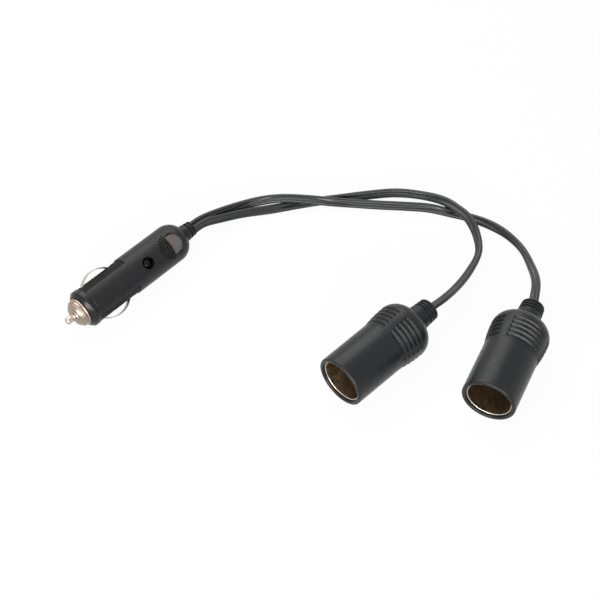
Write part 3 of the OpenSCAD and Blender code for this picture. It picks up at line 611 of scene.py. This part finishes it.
def cut_out(obj, tools):
    """Cuts closed meshes, given as (verts, faces, place), out of an object."""
    for verts, faces, place in tools:
        mesh = bpy.data.meshes.new("tool")
        mesh.from_pydata([place @ Vector(v) for v in verts], [], faces)
        tool = linked("tool", mesh)
        smooth(tool)
        cutter = obj.modifiers.new("cut", "BOOLEAN")
        cutter.object = tool
        cutter.solver = "EXACT"
        graph = bpy.context.evaluated_depsgraph_get()
        result = bpy.data.meshes.new_from_object(obj.evaluated_get(graph))
        obj.modifiers.clear()
        obj.data = result
        bpy.data.objects.remove(tool)
    smooth(obj)


def box_mesh(low, high):
    """Corners and faces of an upright box."""
    verts = [(x, y, z) for x in (low[0], high[0]) for y in (low[1], high[1])
             for z in (low[2], high[2])]
    faces = [(0, 1, 3, 2), (4, 6, 7, 5), (0, 4, 5, 1), (2, 3, 7, 6), (0, 2, 6, 4), (1, 5, 7, 3)]
    return verts, faces


def turned(place, axis, angle, at):
    """The frame moved to a point of its own and turned there by degrees about an axis."""
    return place @ Matrix.Translation(Vector(at)) @ Matrix.Rotation(radians(angle), 4, axis)


def tube_faces(rings, sides):
    """Faces of a tube whose points come ring by ring, with both ends closed."""
    faces = [list(range(sides)), list(range((rings - 1) * sides, rings * sides))]
    for i in range(rings - 1):
        here, ahead = i * sides, (i + 1) * sides
        for k in range(sides):
            m = (k + 1) % sides
            faces.append((here + k, here + m, ahead + m, ahead + k))
    return faces


# Leads

def along(a, b, c, d, t):
    """Point on the smooth curve through four points, between the middle two."""
    return (2 * b + (c - a) * t + (2 * a - 5 * b + 4 * c - d) * t * t
            + (3 * b - a - 3 * c + d) * t * t * t) / 2


def smooth_route(route):
    """Points of a smooth curve through a route's points, with their leans."""
    points = [Vector(p) for p in route]
    before = [2 * points[0] - points[1]] + points[:-1]
    after = points[2:] + [2 * points[-1] - points[-2]]
    result = []
    for i in range(len(points) - 1):
        for step in range(LEAD_STEPS):
            result.append(along(before[i], points[i], points[i + 1], after[i], step / LEAD_STEPS))
    return result + [points[-1]]


def twin_section():
    """Outline of the flat twin lead: two round lobes with a groove along the middle."""
    lobe = LEAD_T / 2
    centre = LEAD_W / 2 - lobe
    web = lobe * WEB_SHARE
    top = []
    for k in range(LOBE_STEPS + 1):
        u = -LEAD_W / 2 * cos(pi * k / LOBE_STEPS)
        height = sqrt(max(0, lobe * lobe - (abs(u) - centre) ** 2))
        if abs(u) < centre:
            height = max(height, web + (lobe - web) * (abs(u) / centre) ** 3)
        top.append((u, height))
    return top + [(u, -h) for u, h in reversed(top[1:-1])]


def make_lead(node, route, material):
    """A flat lead that leans as its route says."""
    points = smooth_route(route)
    section = twin_section()
    verts, path = [], []
    for i, p in enumerate(points):
        t = (points[min(i + 1, len(points) - 1)] - points[max(i - 1, 0)]).to_3d().normalized()
        side = Vector((0, 0, 1)).cross(t).normalized()
        up = t.cross(side)
        lean = radians(p[3])
        wide = side * cos(lean) + up * sin(lean)
        thin = t.cross(wide)
        verts += [p.to_3d() + wide * u + thin * h for u, h in section]
        path.append(tuple(p.to_3d() * MM))
    lead = new_piece("flat_" + node, verts, tube_faces(len(points), len(section)),
                     Matrix.Scale(MM, 4), material, "root")
    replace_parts(lead, node)


# Plug

def shell_radius(r, z, angle):
    """Side channels beside the raised back, and the seam where the two halves meet."""
    if r < (TUBE_R + PLUG_R - SHELL_WALL) / 2 or z < COLLAR_LEN:
        return r
    off_spine = abs((degrees(angle) + 90) % 180 - 90)
    across = min(1, max(0, (off_spine - SPINE_HALF_ANGLE + EDGE_ANGLE) / (2 * EDGE_ANGLE)))
    ahead = min(1, max(0, (CHANNEL_END - z) / EDGE))
    seam = max(0, SEAM_DEPTH - abs(r * cos(angle)))
    return r - (CHANNEL_DEPTH * across * ahead + seam)


def shell_angles(start):
    """Angles of a half shell's columns, with close ones at each channel's edge."""
    edges = [start + 90 + s * (SPINE_HALF_ANGLE + d)
             for s in (-1, 1) for d in (-EDGE_ANGLE, EDGE_ANGLE)]
    count = round(180 / SHELL_COLUMN_ANGLE)
    return sorted([start + SHELL_COLUMN_ANGLE * k for k in range(count + 1)] + edges)


def shell_profile():
    """Outline of the shell, outside first and then back along the hollow and the chamber."""
    round_angle = degrees(acos((PLUG_RELIEF_R - PLUG_R + SHELL_ROUND) / SHELL_ROUND))
    round_from = SHELL_LEN - SHELL_ROUND * sin(radians(round_angle))
    outer = [(NECK_R, 0), (NECK_R, COLLAR_LEN),
             (PLUG_R - SHELL_CHAMFER, COLLAR_LEN), (PLUG_R, COLLAR_LEN + SHELL_CHAMFER),
             (PLUG_R, CHANNEL_END - EDGE), (PLUG_R, CHANNEL_END)]
    outer += arc(PLUG_R - SHELL_ROUND, round_from, SHELL_ROUND, 0, round_angle, SHELL_ARC_STEPS)
    thread_r, thread_end = THREAD_R + FIT_GAP, THREAD_LEN + THREAD_END_GAP
    inner = [(PLUG_NECK_R, SHELL_LEN), (PLUG_NECK_R, HOLLOW_BACK),
             (PLUG_R - SHELL_WALL, HOLLOW_BACK), (PLUG_R - SHELL_WALL, HOLLOW_FRONT),
             (TUBE_R, HOLLOW_FRONT), (TUBE_R, TUBE_END), (CHAMBER_R, TUBE_END),
             (CHAMBER_R, thread_end), (thread_r, thread_end), (thread_r, 0)]
    return outer + inner


def make_shell(name, node, start, place, materials):
    """Half a shell from the angle start on, with its contact pockets; one half has the pad."""
    verts, faces = lathe(finer(shell_profile(), SHELL_ROW), shape=shell_radius,
                         angles=shell_angles(start))
    shell = new_piece(name, verts, faces, place, materials[0], "root")
    tools = pocket_tools(place)
    if start < 0:
        tools += dish_tools(place) + slot_tools(place) + [window_tool(place)]
    cut_out(shell, tools)
    paint_faces(shell, place, materials[1:], shell_face)
    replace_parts(shell, node)


def pocket_tools(place):
    """The slot that each side contact comes out of, and the wider pocket behind it."""
    front, back = BOW_START - POCKET_REACH, BOW_START + BOW_LEN + POCKET_REACH
    tools = []
    for s in (-1, 1):
        for half_w, top, inset in ((STRIP_W / 2 + POCKET_GAP, PLUG_R + OVERRUN, 0),
                                   (STRIP_W / 2 + POCKET_SIDE, POCKET_LIP, POCKET_INSET)):
            low, high = sorted((s * (POCKET_FLOOR + inset), s * top))
            tools.append(box_mesh((-half_w, low, front + inset),
                                  (half_w, high, back - inset)) + (place,))
    return tools


def window_tool(place):
    """The lamp's bore and the bezel round it."""
    floor = LAMP_TALL - BEZEL_DEPTH
    window = lathe([(0, 0), (LAMP_R + FIT_GAP, 0), (LAMP_R + FIT_GAP, floor),
                    (LAMP_R + BEZEL - BEZEL_CORNER, floor),
                    (LAMP_R + BEZEL, floor + BEZEL_CORNER), (LAMP_R + BEZEL, WINDOW_CUT),
                    (0, WINDOW_CUT)], SMALL_SIDES)
    foot = PLUG_R - LAMP_SINK - floor
    return window + (turned(place, "Y", 90, (foot, 0, LAMP_AT)),)


def shell_face(middle, normal):
    """Index of a shell face's material: 0 skin, 1 channel and grip slots in painted shade, 2 pad grey
    with a painted highlight, 3 bezel.
    """
    x, y, z = middle
    r = hypot(x, y)
    facing = (normal.x * x + normal.y * y) / r
    in_channel = abs(r - PLUG_R + CHANNEL_DEPTH) < CHANNEL_MARGIN
    # Channel faces take the painted shade
    if COLLAR_LEN < z < CHANNEL_END and in_channel:
        return 1
    if x < PLUG_R - DISH_CUT_FROM or r > PLUG_R - SKIN_MARGIN:
        return 0
    if hypot(y, z - LAMP_AT) < LAMP_R + BEZEL + EDGE_MARGIN:
        return 3
    sunk = r < PLUG_R - PAD_DEPTH + SKIN_MARGIN
    # Inside the pad: grip slots in front take the channel's painted shade; the outward-facing dish
    # floor takes the pad's grey and painted highlight
    if hypot(y, z - PAD_AT) < PAD_R - EDGE_MARGIN and sunk:
        if z < PAD_AT:
            return 1
        return 2 if facing > DISH_FACING else 0
    return 0


def paint_faces(obj, place, materials, choose):
    """Gives some faces further materials, among them painted shade and a painted highlight:
    choose(middle, normal) returns a face's index.
    """
    back = place.inverted()
    turn = back.to_3x3().normalized()
    for material in materials:
        obj.data.materials.append(material)
    for face in obj.data.polygons:
        face.material_index = choose(back @ face.center, turn @ face.normal)


def dish_tools(place):
    """The dished rear half of the pad: half a disc above a floor that follows the body."""
    verts, faces = lathe([(0, 0), (PAD_R, 0), (PAD_R, DISH_CUT), (0, DISH_CUT)],
                         angles=[90 + 180 * k / PAD_STEPS for k in range(PAD_STEPS + 1)])
    mesh = bpy.data.meshes.new("dish")
    disc = turned(Matrix(), "Y", 90, (PLUG_R - DISH_CUT_FROM, 0, PAD_AT))
    mesh.from_pydata([disc @ Vector(v) for v in verts], [], faces)
    dish = linked("dish", mesh)
    smooth(dish)
    floor_r, reach = PLUG_R - PAD_DEPTH, 4 * PAD_R
    body = lathe([(0, -reach), (floor_r, -reach), (floor_r, reach), (0, reach)],
                 DISH_FLOOR_SIDES)
    cut_out(dish, [body + (turned(Matrix(), "Y", -PAD_SLOPE, (0, 0, PAD_AT)),)])
    tool = ([tuple(v.co) for v in dish.data.vertices],
            [tuple(f.vertices) for f in dish.data.polygons], place)
    bpy.data.objects.remove(dish)
    return [tool]


def slot_tools(place):
    """Grip slots across the front half of the pad."""
    floor, skin, above = PLUG_R - GRIP_DEPTH, PLUG_R - FIT_GAP, PLUG_R + OVERRUN
    tools = []
    for i in range(GRIP_COUNT):
        back = PAD_AT - GRIP_PITCH * (i + GRIP_LAST_SHARE)
        front = back - GRIP_W
        half = degrees(asin(sqrt(PAD_R ** 2 - (front - PAD_AT) ** 2) / PLUG_R))
        outline = [(floor, front), (skin, front), (above, front - GRIP_LIP),
                   (above, back + GRIP_LIP), (skin, back), (floor, back)]
        angles = [half * k / GRIP_STEPS for k in range(-GRIP_STEPS, GRIP_STEPS + 1)]
        tools.append(lathe(outline, angles=angles) + (place,))
    return tools


def make_collar(place, material):
    """The ring that closes the shells in front."""
    outline = rounded([(NECK_R, 0, 0.2), (COLLAR_R - COLLAR_CHAMFER, 0, 0.5),
                       (COLLAR_R, COLLAR_CHAMFER, 0.7), (COLLAR_R, COLLAR_LEN, 0.15),
                       (NECK_R, COLLAR_LEN, 0)])
    verts, faces = lathe(outline, BIG_SIDES)
    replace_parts(new_piece("collar_ring", verts, faces, place, material, "root"),
                "front_collar")


def make_nose(place, mats):
    """Washer, screw cap and centre pin, each on its own body."""
    face = -WASHER_T - CAP_LEN
    front = SEAT_GAP - WASHER_T
    washer = rounded([(THREAD_R + FIT_GAP, front, 0.1), (WASHER_R, front, 0.4),
                      (WASHER_R, 0, 0.4), (THREAD_R + FIT_GAP, 0, 0.1)])
    verts, faces = lathe(washer, BIG_SIDES)
    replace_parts(new_piece("washer_ring", verts, faces, place, mats["washer"], "washer"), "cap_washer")
    flange = -WASHER_T - CAP_FLANGE
    pin_bore = PIN_R + FIT_GAP
    cap = rounded([(pin_bore, face - CAP_LIP, 0.15), (CAP_LIP_R, face - CAP_LIP, 0.35),
                   (CAP_LIP_FOOT_R, face, 0.2), (CAP_R - CAP_FACE_INSET, face, 0.7),
                   (CAP_R - CAP_SLOPE_INSET, face + CAP_SLOPE_LEN, 0.6),
                   (CAP_R - CAP_BODY_INSET, flange, 0.15), (CAP_R, flange, 0.25),
                   (CAP_R, -WASHER_T, 0.1), (THREAD_R, -WASHER_T, 0), (THREAD_R, THREAD_LEN, 0.2),
                   (THREAD_R - CAP_WALL, THREAD_LEN, 0.1),
                   (THREAD_R - CAP_WALL, face + CAP_FACE_T, 0), (pin_bore, face + CAP_FACE_T, 0)])
    verts, faces = lathe(cap, BIG_SIDES)
    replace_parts(new_piece("screw_cap", verts, faces, place, mats["cap"], "cap"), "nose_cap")
    tip = face - CAP_LIP - PIN_REACH
    seat = face + PIN_FLANGE_AT
    waist_r = PIN_R - PIN_WAIST
    pin = rounded([(0, tip, 0), (PIN_R, tip, PIN_ROUND), (PIN_R, tip + PIN_HEAD, 0.3),
                   (waist_r, tip + PIN_HEAD_FOOT, 0.2), (waist_r, face - PIN_WAIST_END, 0.2),
                   (PIN_R, face - PIN_GUIDE, 0.1), (PIN_R, seat, 0), (PIN_FLANGE_R, seat, 0.2),
                   (PIN_FLANGE_R, seat + PIN_FLANGE_T, 0.2), (0, seat + PIN_FLANGE_T, 0)])
    verts, faces = lathe(pin, SMALL_SIDES)
    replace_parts(new_piece("nose_pin", verts, faces, place, mats["pin"], "tip"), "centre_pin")


def make_spring(material):
    """The coil behind the fuse; the real one shortens as the centre pin goes in, this one keeps its
    length.
    """
    low, high = (Vector(corner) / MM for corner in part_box("fuse_spring"))
    middle = (low + high) / 2
    wire = SPRING_WIRE / 2
    reach = (high.y - low.y) / 2 - wire
    count = SPRING_TURNS * SPRING_STEPS
    advance = (high.x - low.x - 2 * wire) / count
    turn = reach * 2 * pi / SPRING_STEPS
    verts = []
    for i in range(count + 1):
        a = 2 * pi * i / SPRING_STEPS
        out = Vector((0, cos(a), sin(a)))
        side = Vector((advance, -turn * sin(a), turn * cos(a))).normalized().cross(out)
        centre = Vector((low.x + wire + advance * i, middle.y, middle.z)) + out * reach
        for k in range(SPRING_SIDES):
            b = 2 * pi * k / SPRING_SIDES
            verts.append(centre + (out * cos(b) + side * sin(b)) * wire)
    coil = new_piece("coil_spring", verts, tube_faces(count + 1, SPRING_SIDES),
                     Matrix.Scale(MM, 4), material, "root", SPRING_SHARP_ANGLE)
    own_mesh(coil)
    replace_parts(coil, "fuse_spring")


def strip_path():
    """Side view of a bowed contact strip as (radius, z) with the width there."""
    foot_r = PLUG_R - CHANNEL_DEPTH
    height = PLUG_R + BOW_RISE - foot_r
    bow_r = (BOW_LEN ** 2 / 4 + height ** 2) / (2 * height) - STRIP_T / 2
    half = asin(BOW_LEN / 2 / bow_r)
    middle = BOW_START + BOW_LEN / 2
    centre = foot_r + height - STRIP_T / 2 - bow_r
    turns = [half * (2 * i / BOW_STEPS - 1) for i in range(BOW_STEPS + 1)]
    bow = [(centre + bow_r * cos(a), middle + bow_r * sin(a), STRIP_W) for a in turns]
    run = EAR_DROP / tan(half)
    ear_r = foot_r - EAR_DROP - STRIP_T / 2
    front, back = BOW_START - run, BOW_START + BOW_LEN + run
    ends = STRIP_W + EAR_EXTRA_W
    return ([(ear_r, front - EAR_LEN, ends), (ear_r, front - EAR_STEP, ends),
             (ear_r, front, STRIP_W)] + bow
            + [(ear_r, back, STRIP_W), (ear_r, back + EAR_STEP, ends),
               (ear_r, back + EAR_LEN, ends)])


def make_contact(name, sign, body, node, place, material):
    """A bowed strip with rounded edges; the sign is the side of the plug."""
    corner = STRIP_CORNER
    section = []
    for sx, sy, turn in ((1, 1, 0), (-1, 1, 90), (-1, -1, 180), (1, -1, 270)):
        for k in range(4):
            a = radians(turn + 30 * k)
            section.append((sx, cos(a) * corner, sy * (STRIP_T / 2 - corner) + sin(a) * corner))
    path = strip_path()
    verts = []
    for i, (r, z, width) in enumerate(path):
        r1, z1, _ = path[max(i - 1, 0)]
        r2, z2, _ = path[min(i + 1, len(path) - 1)]
        length = hypot(r2 - r1, z2 - z1)
        out_r, out_z = (z2 - z1) / length, -(r2 - r1) / length
        for sx, dx, dn in section:
            verts.append((sx * (width / 2 - corner) + dx, sign * (r + out_r * dn), z + out_z * dn))
    faces = tube_faces(len(path), len(section))
    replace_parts(new_piece(name, verts, faces, place, material, body), node)


def make_lamp(place, material):
    """The lamp: a short rod with a domed end."""
    at = turned(place, "Y", 90, (PLUG_R - LAMP_SINK - LAMP_TALL, 0, LAMP_AT))
    ball = LAMP_R * LAMP_BALL_SHARE
    edge = degrees(acos(LAMP_R / ball))
    outline = [(0, 0), (LAMP_R, 0)] + arc(0, LAMP_TALL - ball, ball, edge, 90, LAMP_STEPS)
    outline[-1] = (0, LAMP_TALL)
    verts, faces = lathe(outline, LAMP_SIDES)
    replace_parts(new_piece("lamp", verts, faces, at, material, "root"),
                "indicator_led")


def make_plug_relief(place, material):
    """The plug's strain relief: two grooves between rings of the same width."""
    end_r = PLUG_RELIEF_R * PLUG_RELIEF_END_SHARE
    foot, foot_r = SHELL_LEN - PLUG_RELIEF_FOOT, PLUG_RELIEF_FOOT_R
    corners = [(0, foot, 0), (foot_r, foot, 0), (foot_r, HOLLOW_BACK, 0),
               (PLUG_NECK_R, HOLLOW_BACK, 0), (PLUG_NECK_R, SHELL_LEN, 0),
               (PLUG_RELIEF_R, SHELL_LEN, 0.15)]
    end = SHELL_LEN + PLUG_RELIEF_LEN
    ring = PLUG_RELIEF_RING
    for i in (1, 0):
        back = end - 2 * ring * i - ring
        for z, deep in ((back - ring, 0), (back - ring, 1), (back, 1), (back, 0)):
            taper = PLUG_RELIEF_R + (end_r - PLUG_RELIEF_R) * (z - SHELL_LEN) / PLUG_RELIEF_LEN
            corners.append((end_r - RELIEF_GROOVE_DEPTH if deep else taper, z, 0.2))
    corners += [(end_r, end, 0.5), (0, end, 0)]
    verts, faces = lathe(rounded(corners), RELIEF_SIDES)
    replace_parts(new_piece("plug_sleeve", verts, faces, place, material, "root"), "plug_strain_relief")


# Sockets

def flare_radius(z):
    """Radius of the flare between the barrel and the full ribs."""
    low = MOUTH_R + BARREL_SWELL
    rise = RIBS_R - low
    curve = (FLARE_LEN ** 2 / rise + rise) / 2
    left = max(0, BARREL_LEN + FLARE_LEN - z)
    return RIBS_R - curve + sqrt(curve ** 2 - left ** 2)


def housing_radius(r, z, angle):
    """Grip grooves round the flare, interrupted by four smooth bands."""
    if r < MOUTH_R:
        return r
    first = BARREL_LEN + GROOVE_FIRST
    i = min(GROOVE_COUNT - 1, max(0, round((z - first) / GROOVE_PITCH)))
    off = abs(z - first - GROOVE_PITCH * i)
    if off >= GROOVE_HALF:
        return r
    rise = max(0, off - GROOVE_FLOOR) / (GROOVE_HALF - GROOVE_FLOOR)
    depth = GROOVE_DEPTH * (0.5 + 0.5 * cos(pi * rise))
    quarter = radians(45) - abs((angle % (pi / 2)) - pi / 4)
    edge = quarter * r - BAND_W / 2
    return r - depth * sqrt(min(1, max(0, edge / BAND_EDGE)))


def housing_profile():
    """Outline of the housing, outside first and then back along the hollow and the bore."""
    outer = arc(MOUTH_R - LIP_ROUND, LIP_ROUND, LIP_ROUND, -90, 0, LIP_STEPS)
    outer += [(MOUTH_R + BARREL_SWELL * k / BARREL_ROWS,
               LIP_ROUND + (BARREL_LEN - LIP_ROUND) * k / BARREL_ROWS)
              for k in range(1, BARREL_ROWS)]
    rows = int((ROUND_FROM - BARREL_LEN) / FLARE_ROW)
    outer += [(flare_radius(z), z) for z in
              (BARREL_LEN + (ROUND_FROM - BARREL_LEN) * k / rows for k in range(rows))]
    outer += arc(RIBS_R - HOUSING_ROUND, ROUND_FROM, HOUSING_ROUND, 0, degrees(ROUND_ANGLE),
                 HOUSING_ARC_STEPS)
    seat = SLEEVE_R + FIT_GAP
    seat_end = RIM_RECESS + RIM_SUNK + RIM_BEAD
    inner = [(SOCKET_NECK_R, HOUSING_LEN), (SOCKET_NECK_R, BACK_HOLLOW_END),
             (BACK_HOLLOW_R, BACK_HOLLOW_END), (BACK_HOLLOW_R, BASE_END + BASE_GAP),
             (SLEEVE_R, BASE_END + BASE_GAP), (SLEEVE_R, seat_end), (seat, seat_end),
             (seat, RIM_RECESS)]
    inner += arc(seat + RIM_RECESS, RIM_RECESS, RIM_RECESS, 180, 270, LIP_STEPS)
    return outer + inner


def sleeve_highlight_face(middle, normal):
    """Index of a sleeve face's material: the rolled rim and the bore just inside it take a painted
    highlight.
    """
    return 1 if middle.z < RIM_RECESS + RIM_SUNK + RIM_BEAD + RIM_HIGHLIGHT_LEN else 0


def make_socket(number, mats):
    """Housing, sleeve and strain relief of a socket."""
    place = socket_frame(number)
    prefix = "socket_%d_" % number
    verts, faces = lathe(housing_profile(), HOUSING_SIDES, housing_radius)
    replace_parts(new_piece(prefix + "body", verts, faces, place, mats["housing"], "root",
                          HOUSING_SHARP_ANGLE), prefix + "housing")
    make_sleeve(prefix, place, mats["sleeve"], mats["rim"])
    verts, faces = lathe(rounded(relief_corners()), RELIEF_SIDES)
    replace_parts(new_piece(prefix + "cable_sleeve", verts, faces, place, mats["relief"], "root"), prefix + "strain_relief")


def make_sleeve(prefix, place, material, rim_highlight_material):
    """The plated barrel, with its edge rolled outwards."""
    roll = RIM_BEAD * RIM_ROLL_SHARE
    top = RIM_RECESS + RIM_SUNK
    # The second point splits the bore where the painted highlight stops
    outline = [(BORE_R, BORE_END), (BORE_R, top + RIM_BEAD + RIM_HIGHLIGHT_LEN),
               (BORE_R, top + RIM_BEAD)]
    outline += arc(BORE_R + roll, top + roll, roll, 190, 350, RIM_ROLL_STEPS)
    outline += [(BORE_R + 2 * roll, top + RIM_BEAD), (SLEEVE_R, top + RIM_BEAD + EDGE),
                (SLEEVE_R, BORE_END)]
    verts, faces = lathe(outline, BIG_SIDES)
    barrel = new_piece(prefix + "barrel", verts, faces, place, material, "root")
    # The rim and the first stretch of bore take the painted highlight
    paint_faces(barrel, place, [rim_highlight_material], sleeve_highlight_face)
    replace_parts(barrel, prefix + "sleeve")


def relief_corners():
    """Corners of a socket's strain relief: its foot in the housing, then the grooves."""
    foot = BACK_HOLLOW_END - RELIEF_FOOT
    corners = [(0, foot, 0), (RELIEF_FOOT_R, foot, 0), (RELIEF_FOOT_R, BACK_HOLLOW_END, 0),
               (SOCKET_NECK_R, BACK_HOLLOW_END, 0), (SOCKET_NECK_R, HOUSING_LEN, 0),
               (RELIEF_R, HOUSING_LEN, 0.2)]
    end = HOUSING_LEN + RELIEF_LEN
    for i in reversed(range(RELIEF_GROOVES)):
        z = end - RELIEF_GROOVE_END - RELIEF_GROOVE_PITCH * i
        taper = RELIEF_R + (RELIEF_END_R - RELIEF_R) * (z - HOUSING_LEN) / RELIEF_LEN
        floor = taper - RELIEF_GROOVE_DEPTH
        corners += [(taper, z - RELIEF_GROOVE_HALF, 0.25), (floor, z - RELIEF_GROOVE_FLOOR, 0.1),
                    (floor, z + RELIEF_GROOVE_FLOOR, 0.1), (taper, z + RELIEF_GROOVE_HALF, 0.25)]
    return corners + [(RELIEF_END_R, end, 0.9), (0, end, 0)]


# Carried-over solids

def dress_solids(mats):
    """Gives every solid that stays as it is its finish."""
    finishes = {
        "shell_screw": "steel", "fuse_glass": "glass", "fuse_end_caps": "steel",
        "fuse_element": "steel", "spring_terminal": "brass",
        "ground_bridge": "dull_brass", "led_resistor": "resistor",
        "plug_positive_cores": "red", "plug_negative_cores": "black"}
    for number in (1, 2):
        finishes.update({
            "socket_%d_base" % number: "base", "socket_%d_centre_contact" % number: "brass",
            "socket_%d_positive_tab" % number: "brass", "socket_%d_negative_tab" % number: "steel",
            "socket_%d_cores" % number: "black"})
    for node, finish in finishes.items():
        obj = frame["nodes"][node]
        for one in [obj] + list(obj.children_recursive):
            if one.type == "MESH":
                one.data.materials.clear()
                one.data.materials.append(mats[finish])


# Floor and light

def background_rays(nodes, links):
    """One for camera, glossy and transmission rays, which all see the plain pale background."""
    path = nodes.new("ShaderNodeLightPath")
    total = path.outputs["Is Camera Ray"]
    for ray in ("Is Glossy Ray", "Is Transmission Ray"):
        either = nodes.new("ShaderNodeMath")
        either.operation = "MAXIMUM"
        links.new(total, either.inputs[0])
        links.new(path.outputs[ray], either.inputs[1])
        total = either.outputs[0]
    return total


def add_floor():
    """A wide pale floor that keeps a faint shadow."""
    size = FLOOR_HALF_M
    mesh = bpy.data.meshes.new("floor")
    mesh.from_pydata([(-size, -size, 0), (size, -size, 0), (size, size, 0), (-size, size, 0)],
                     [], [(0, 1, 2, 3)])
    floor = linked("floor", mesh)
    mat = bpy.data.materials.new("floor")
    mat.use_nodes = True
    nodes, links = mat.node_tree.nodes, mat.node_tree.links
    nodes.clear()
    out = nodes.new("ShaderNodeOutputMaterial")
    paint = nodes.new("ShaderNodeBsdfDiffuse")
    paint.inputs["Color"].default_value = FLOOR_COLOUR
    glow = nodes.new("ShaderNodeEmission")
    mix = nodes.new("ShaderNodeMixShader")
    share = nodes.new("ShaderNodeMath")
    share.operation = "MULTIPLY"
    share.inputs[1].default_value = FLOOR_GLOW
    links.new(background_rays(nodes, links), share.inputs[0])
    links.new(share.outputs[0], mix.inputs["Fac"])
    links.new(paint.outputs[0], mix.inputs[1])
    links.new(glow.outputs[0], mix.inputs[2])
    links.new(mix.outputs[0], out.inputs["Surface"])
    mesh.materials.append(mat)


def add_world():
    """A dim white world that the background rays see at full white."""
    world = bpy.data.worlds.new("world")
    bpy.context.scene.world = world
    world.use_nodes = True
    nodes, links = world.node_tree.nodes, world.node_tree.links
    shade = nodes["Background"]
    shade.inputs["Color"].default_value = (1, 1, 1, 1)
    level = nodes.new("ShaderNodeMapRange")
    level.inputs["To Min"].default_value = WORLD_ON_OBJECT
    level.inputs["To Max"].default_value = WORLD_SEEN
    links.new(background_rays(nodes, links), level.inputs["Value"])
    links.new(level.outputs["Result"], shade.inputs["Strength"])


def add_light(name, heading, elevation, distance, size, power):
    """An area light that looks at the camera's target."""
    data = bpy.data.lights.new(name, "AREA")
    data.shape = "RECTANGLE"
    data.size, data.size_y = size
    data.energy = power
    light = linked(name, data)
    e, h = radians(elevation), radians(heading)
    away = Vector((cos(e) * cos(h), cos(e) * sin(h), sin(e)))
    light.location = Vector(VIEW_TARGET) * MM + away * distance
    light.rotation_euler = (-away).to_track_quat("-Z", "Y").to_euler()


def main():
    """Builds the scene: camera and leads first, then the other pieces, floor and light."""
    add_camera()
    mats = make_materials()
    make_lead("lead_1", LEAD_1_ROUTE, mats["lead"])
    make_lead("lead_2", LEAD_2_ROUTE, mats["lead"])
    plug = plug_frame()
    # The channel material is painted shade; the pad material is grey with a painted highlight
    recesses = [mats["channel"], mats["pad"], mats["bezel"]]
    make_shell("shell_half_upper", "plug_shell_upper", -90, plug, [mats["shell"]] + recesses)
    make_shell("shell_half_lower", "plug_shell_lower", 90, plug, [mats["shell_back"]] + recesses)
    make_collar(plug, mats["collar"])
    make_nose(plug, mats)
    make_spring(mats["steel"])
    make_contact("contact_strip_far", -1, "contact_far", "side_contact_far", plug, mats["contact"])
    make_contact("contact_strip_near", 1, "contact_near", "side_contact_near", plug,
                 mats["contact"])
    make_lamp(plug, mats["lamp"])
    make_plug_relief(plug, mats["relief"])
    for number in (1, 2):
        make_socket(number, mats)
    dress_solids(mats)
    add_floor()
    add_world()
    for lamp in LAMPS:
        add_light(*lamp)
    bpy.context.scene.view_settings.view_transform = "Standard"


main()
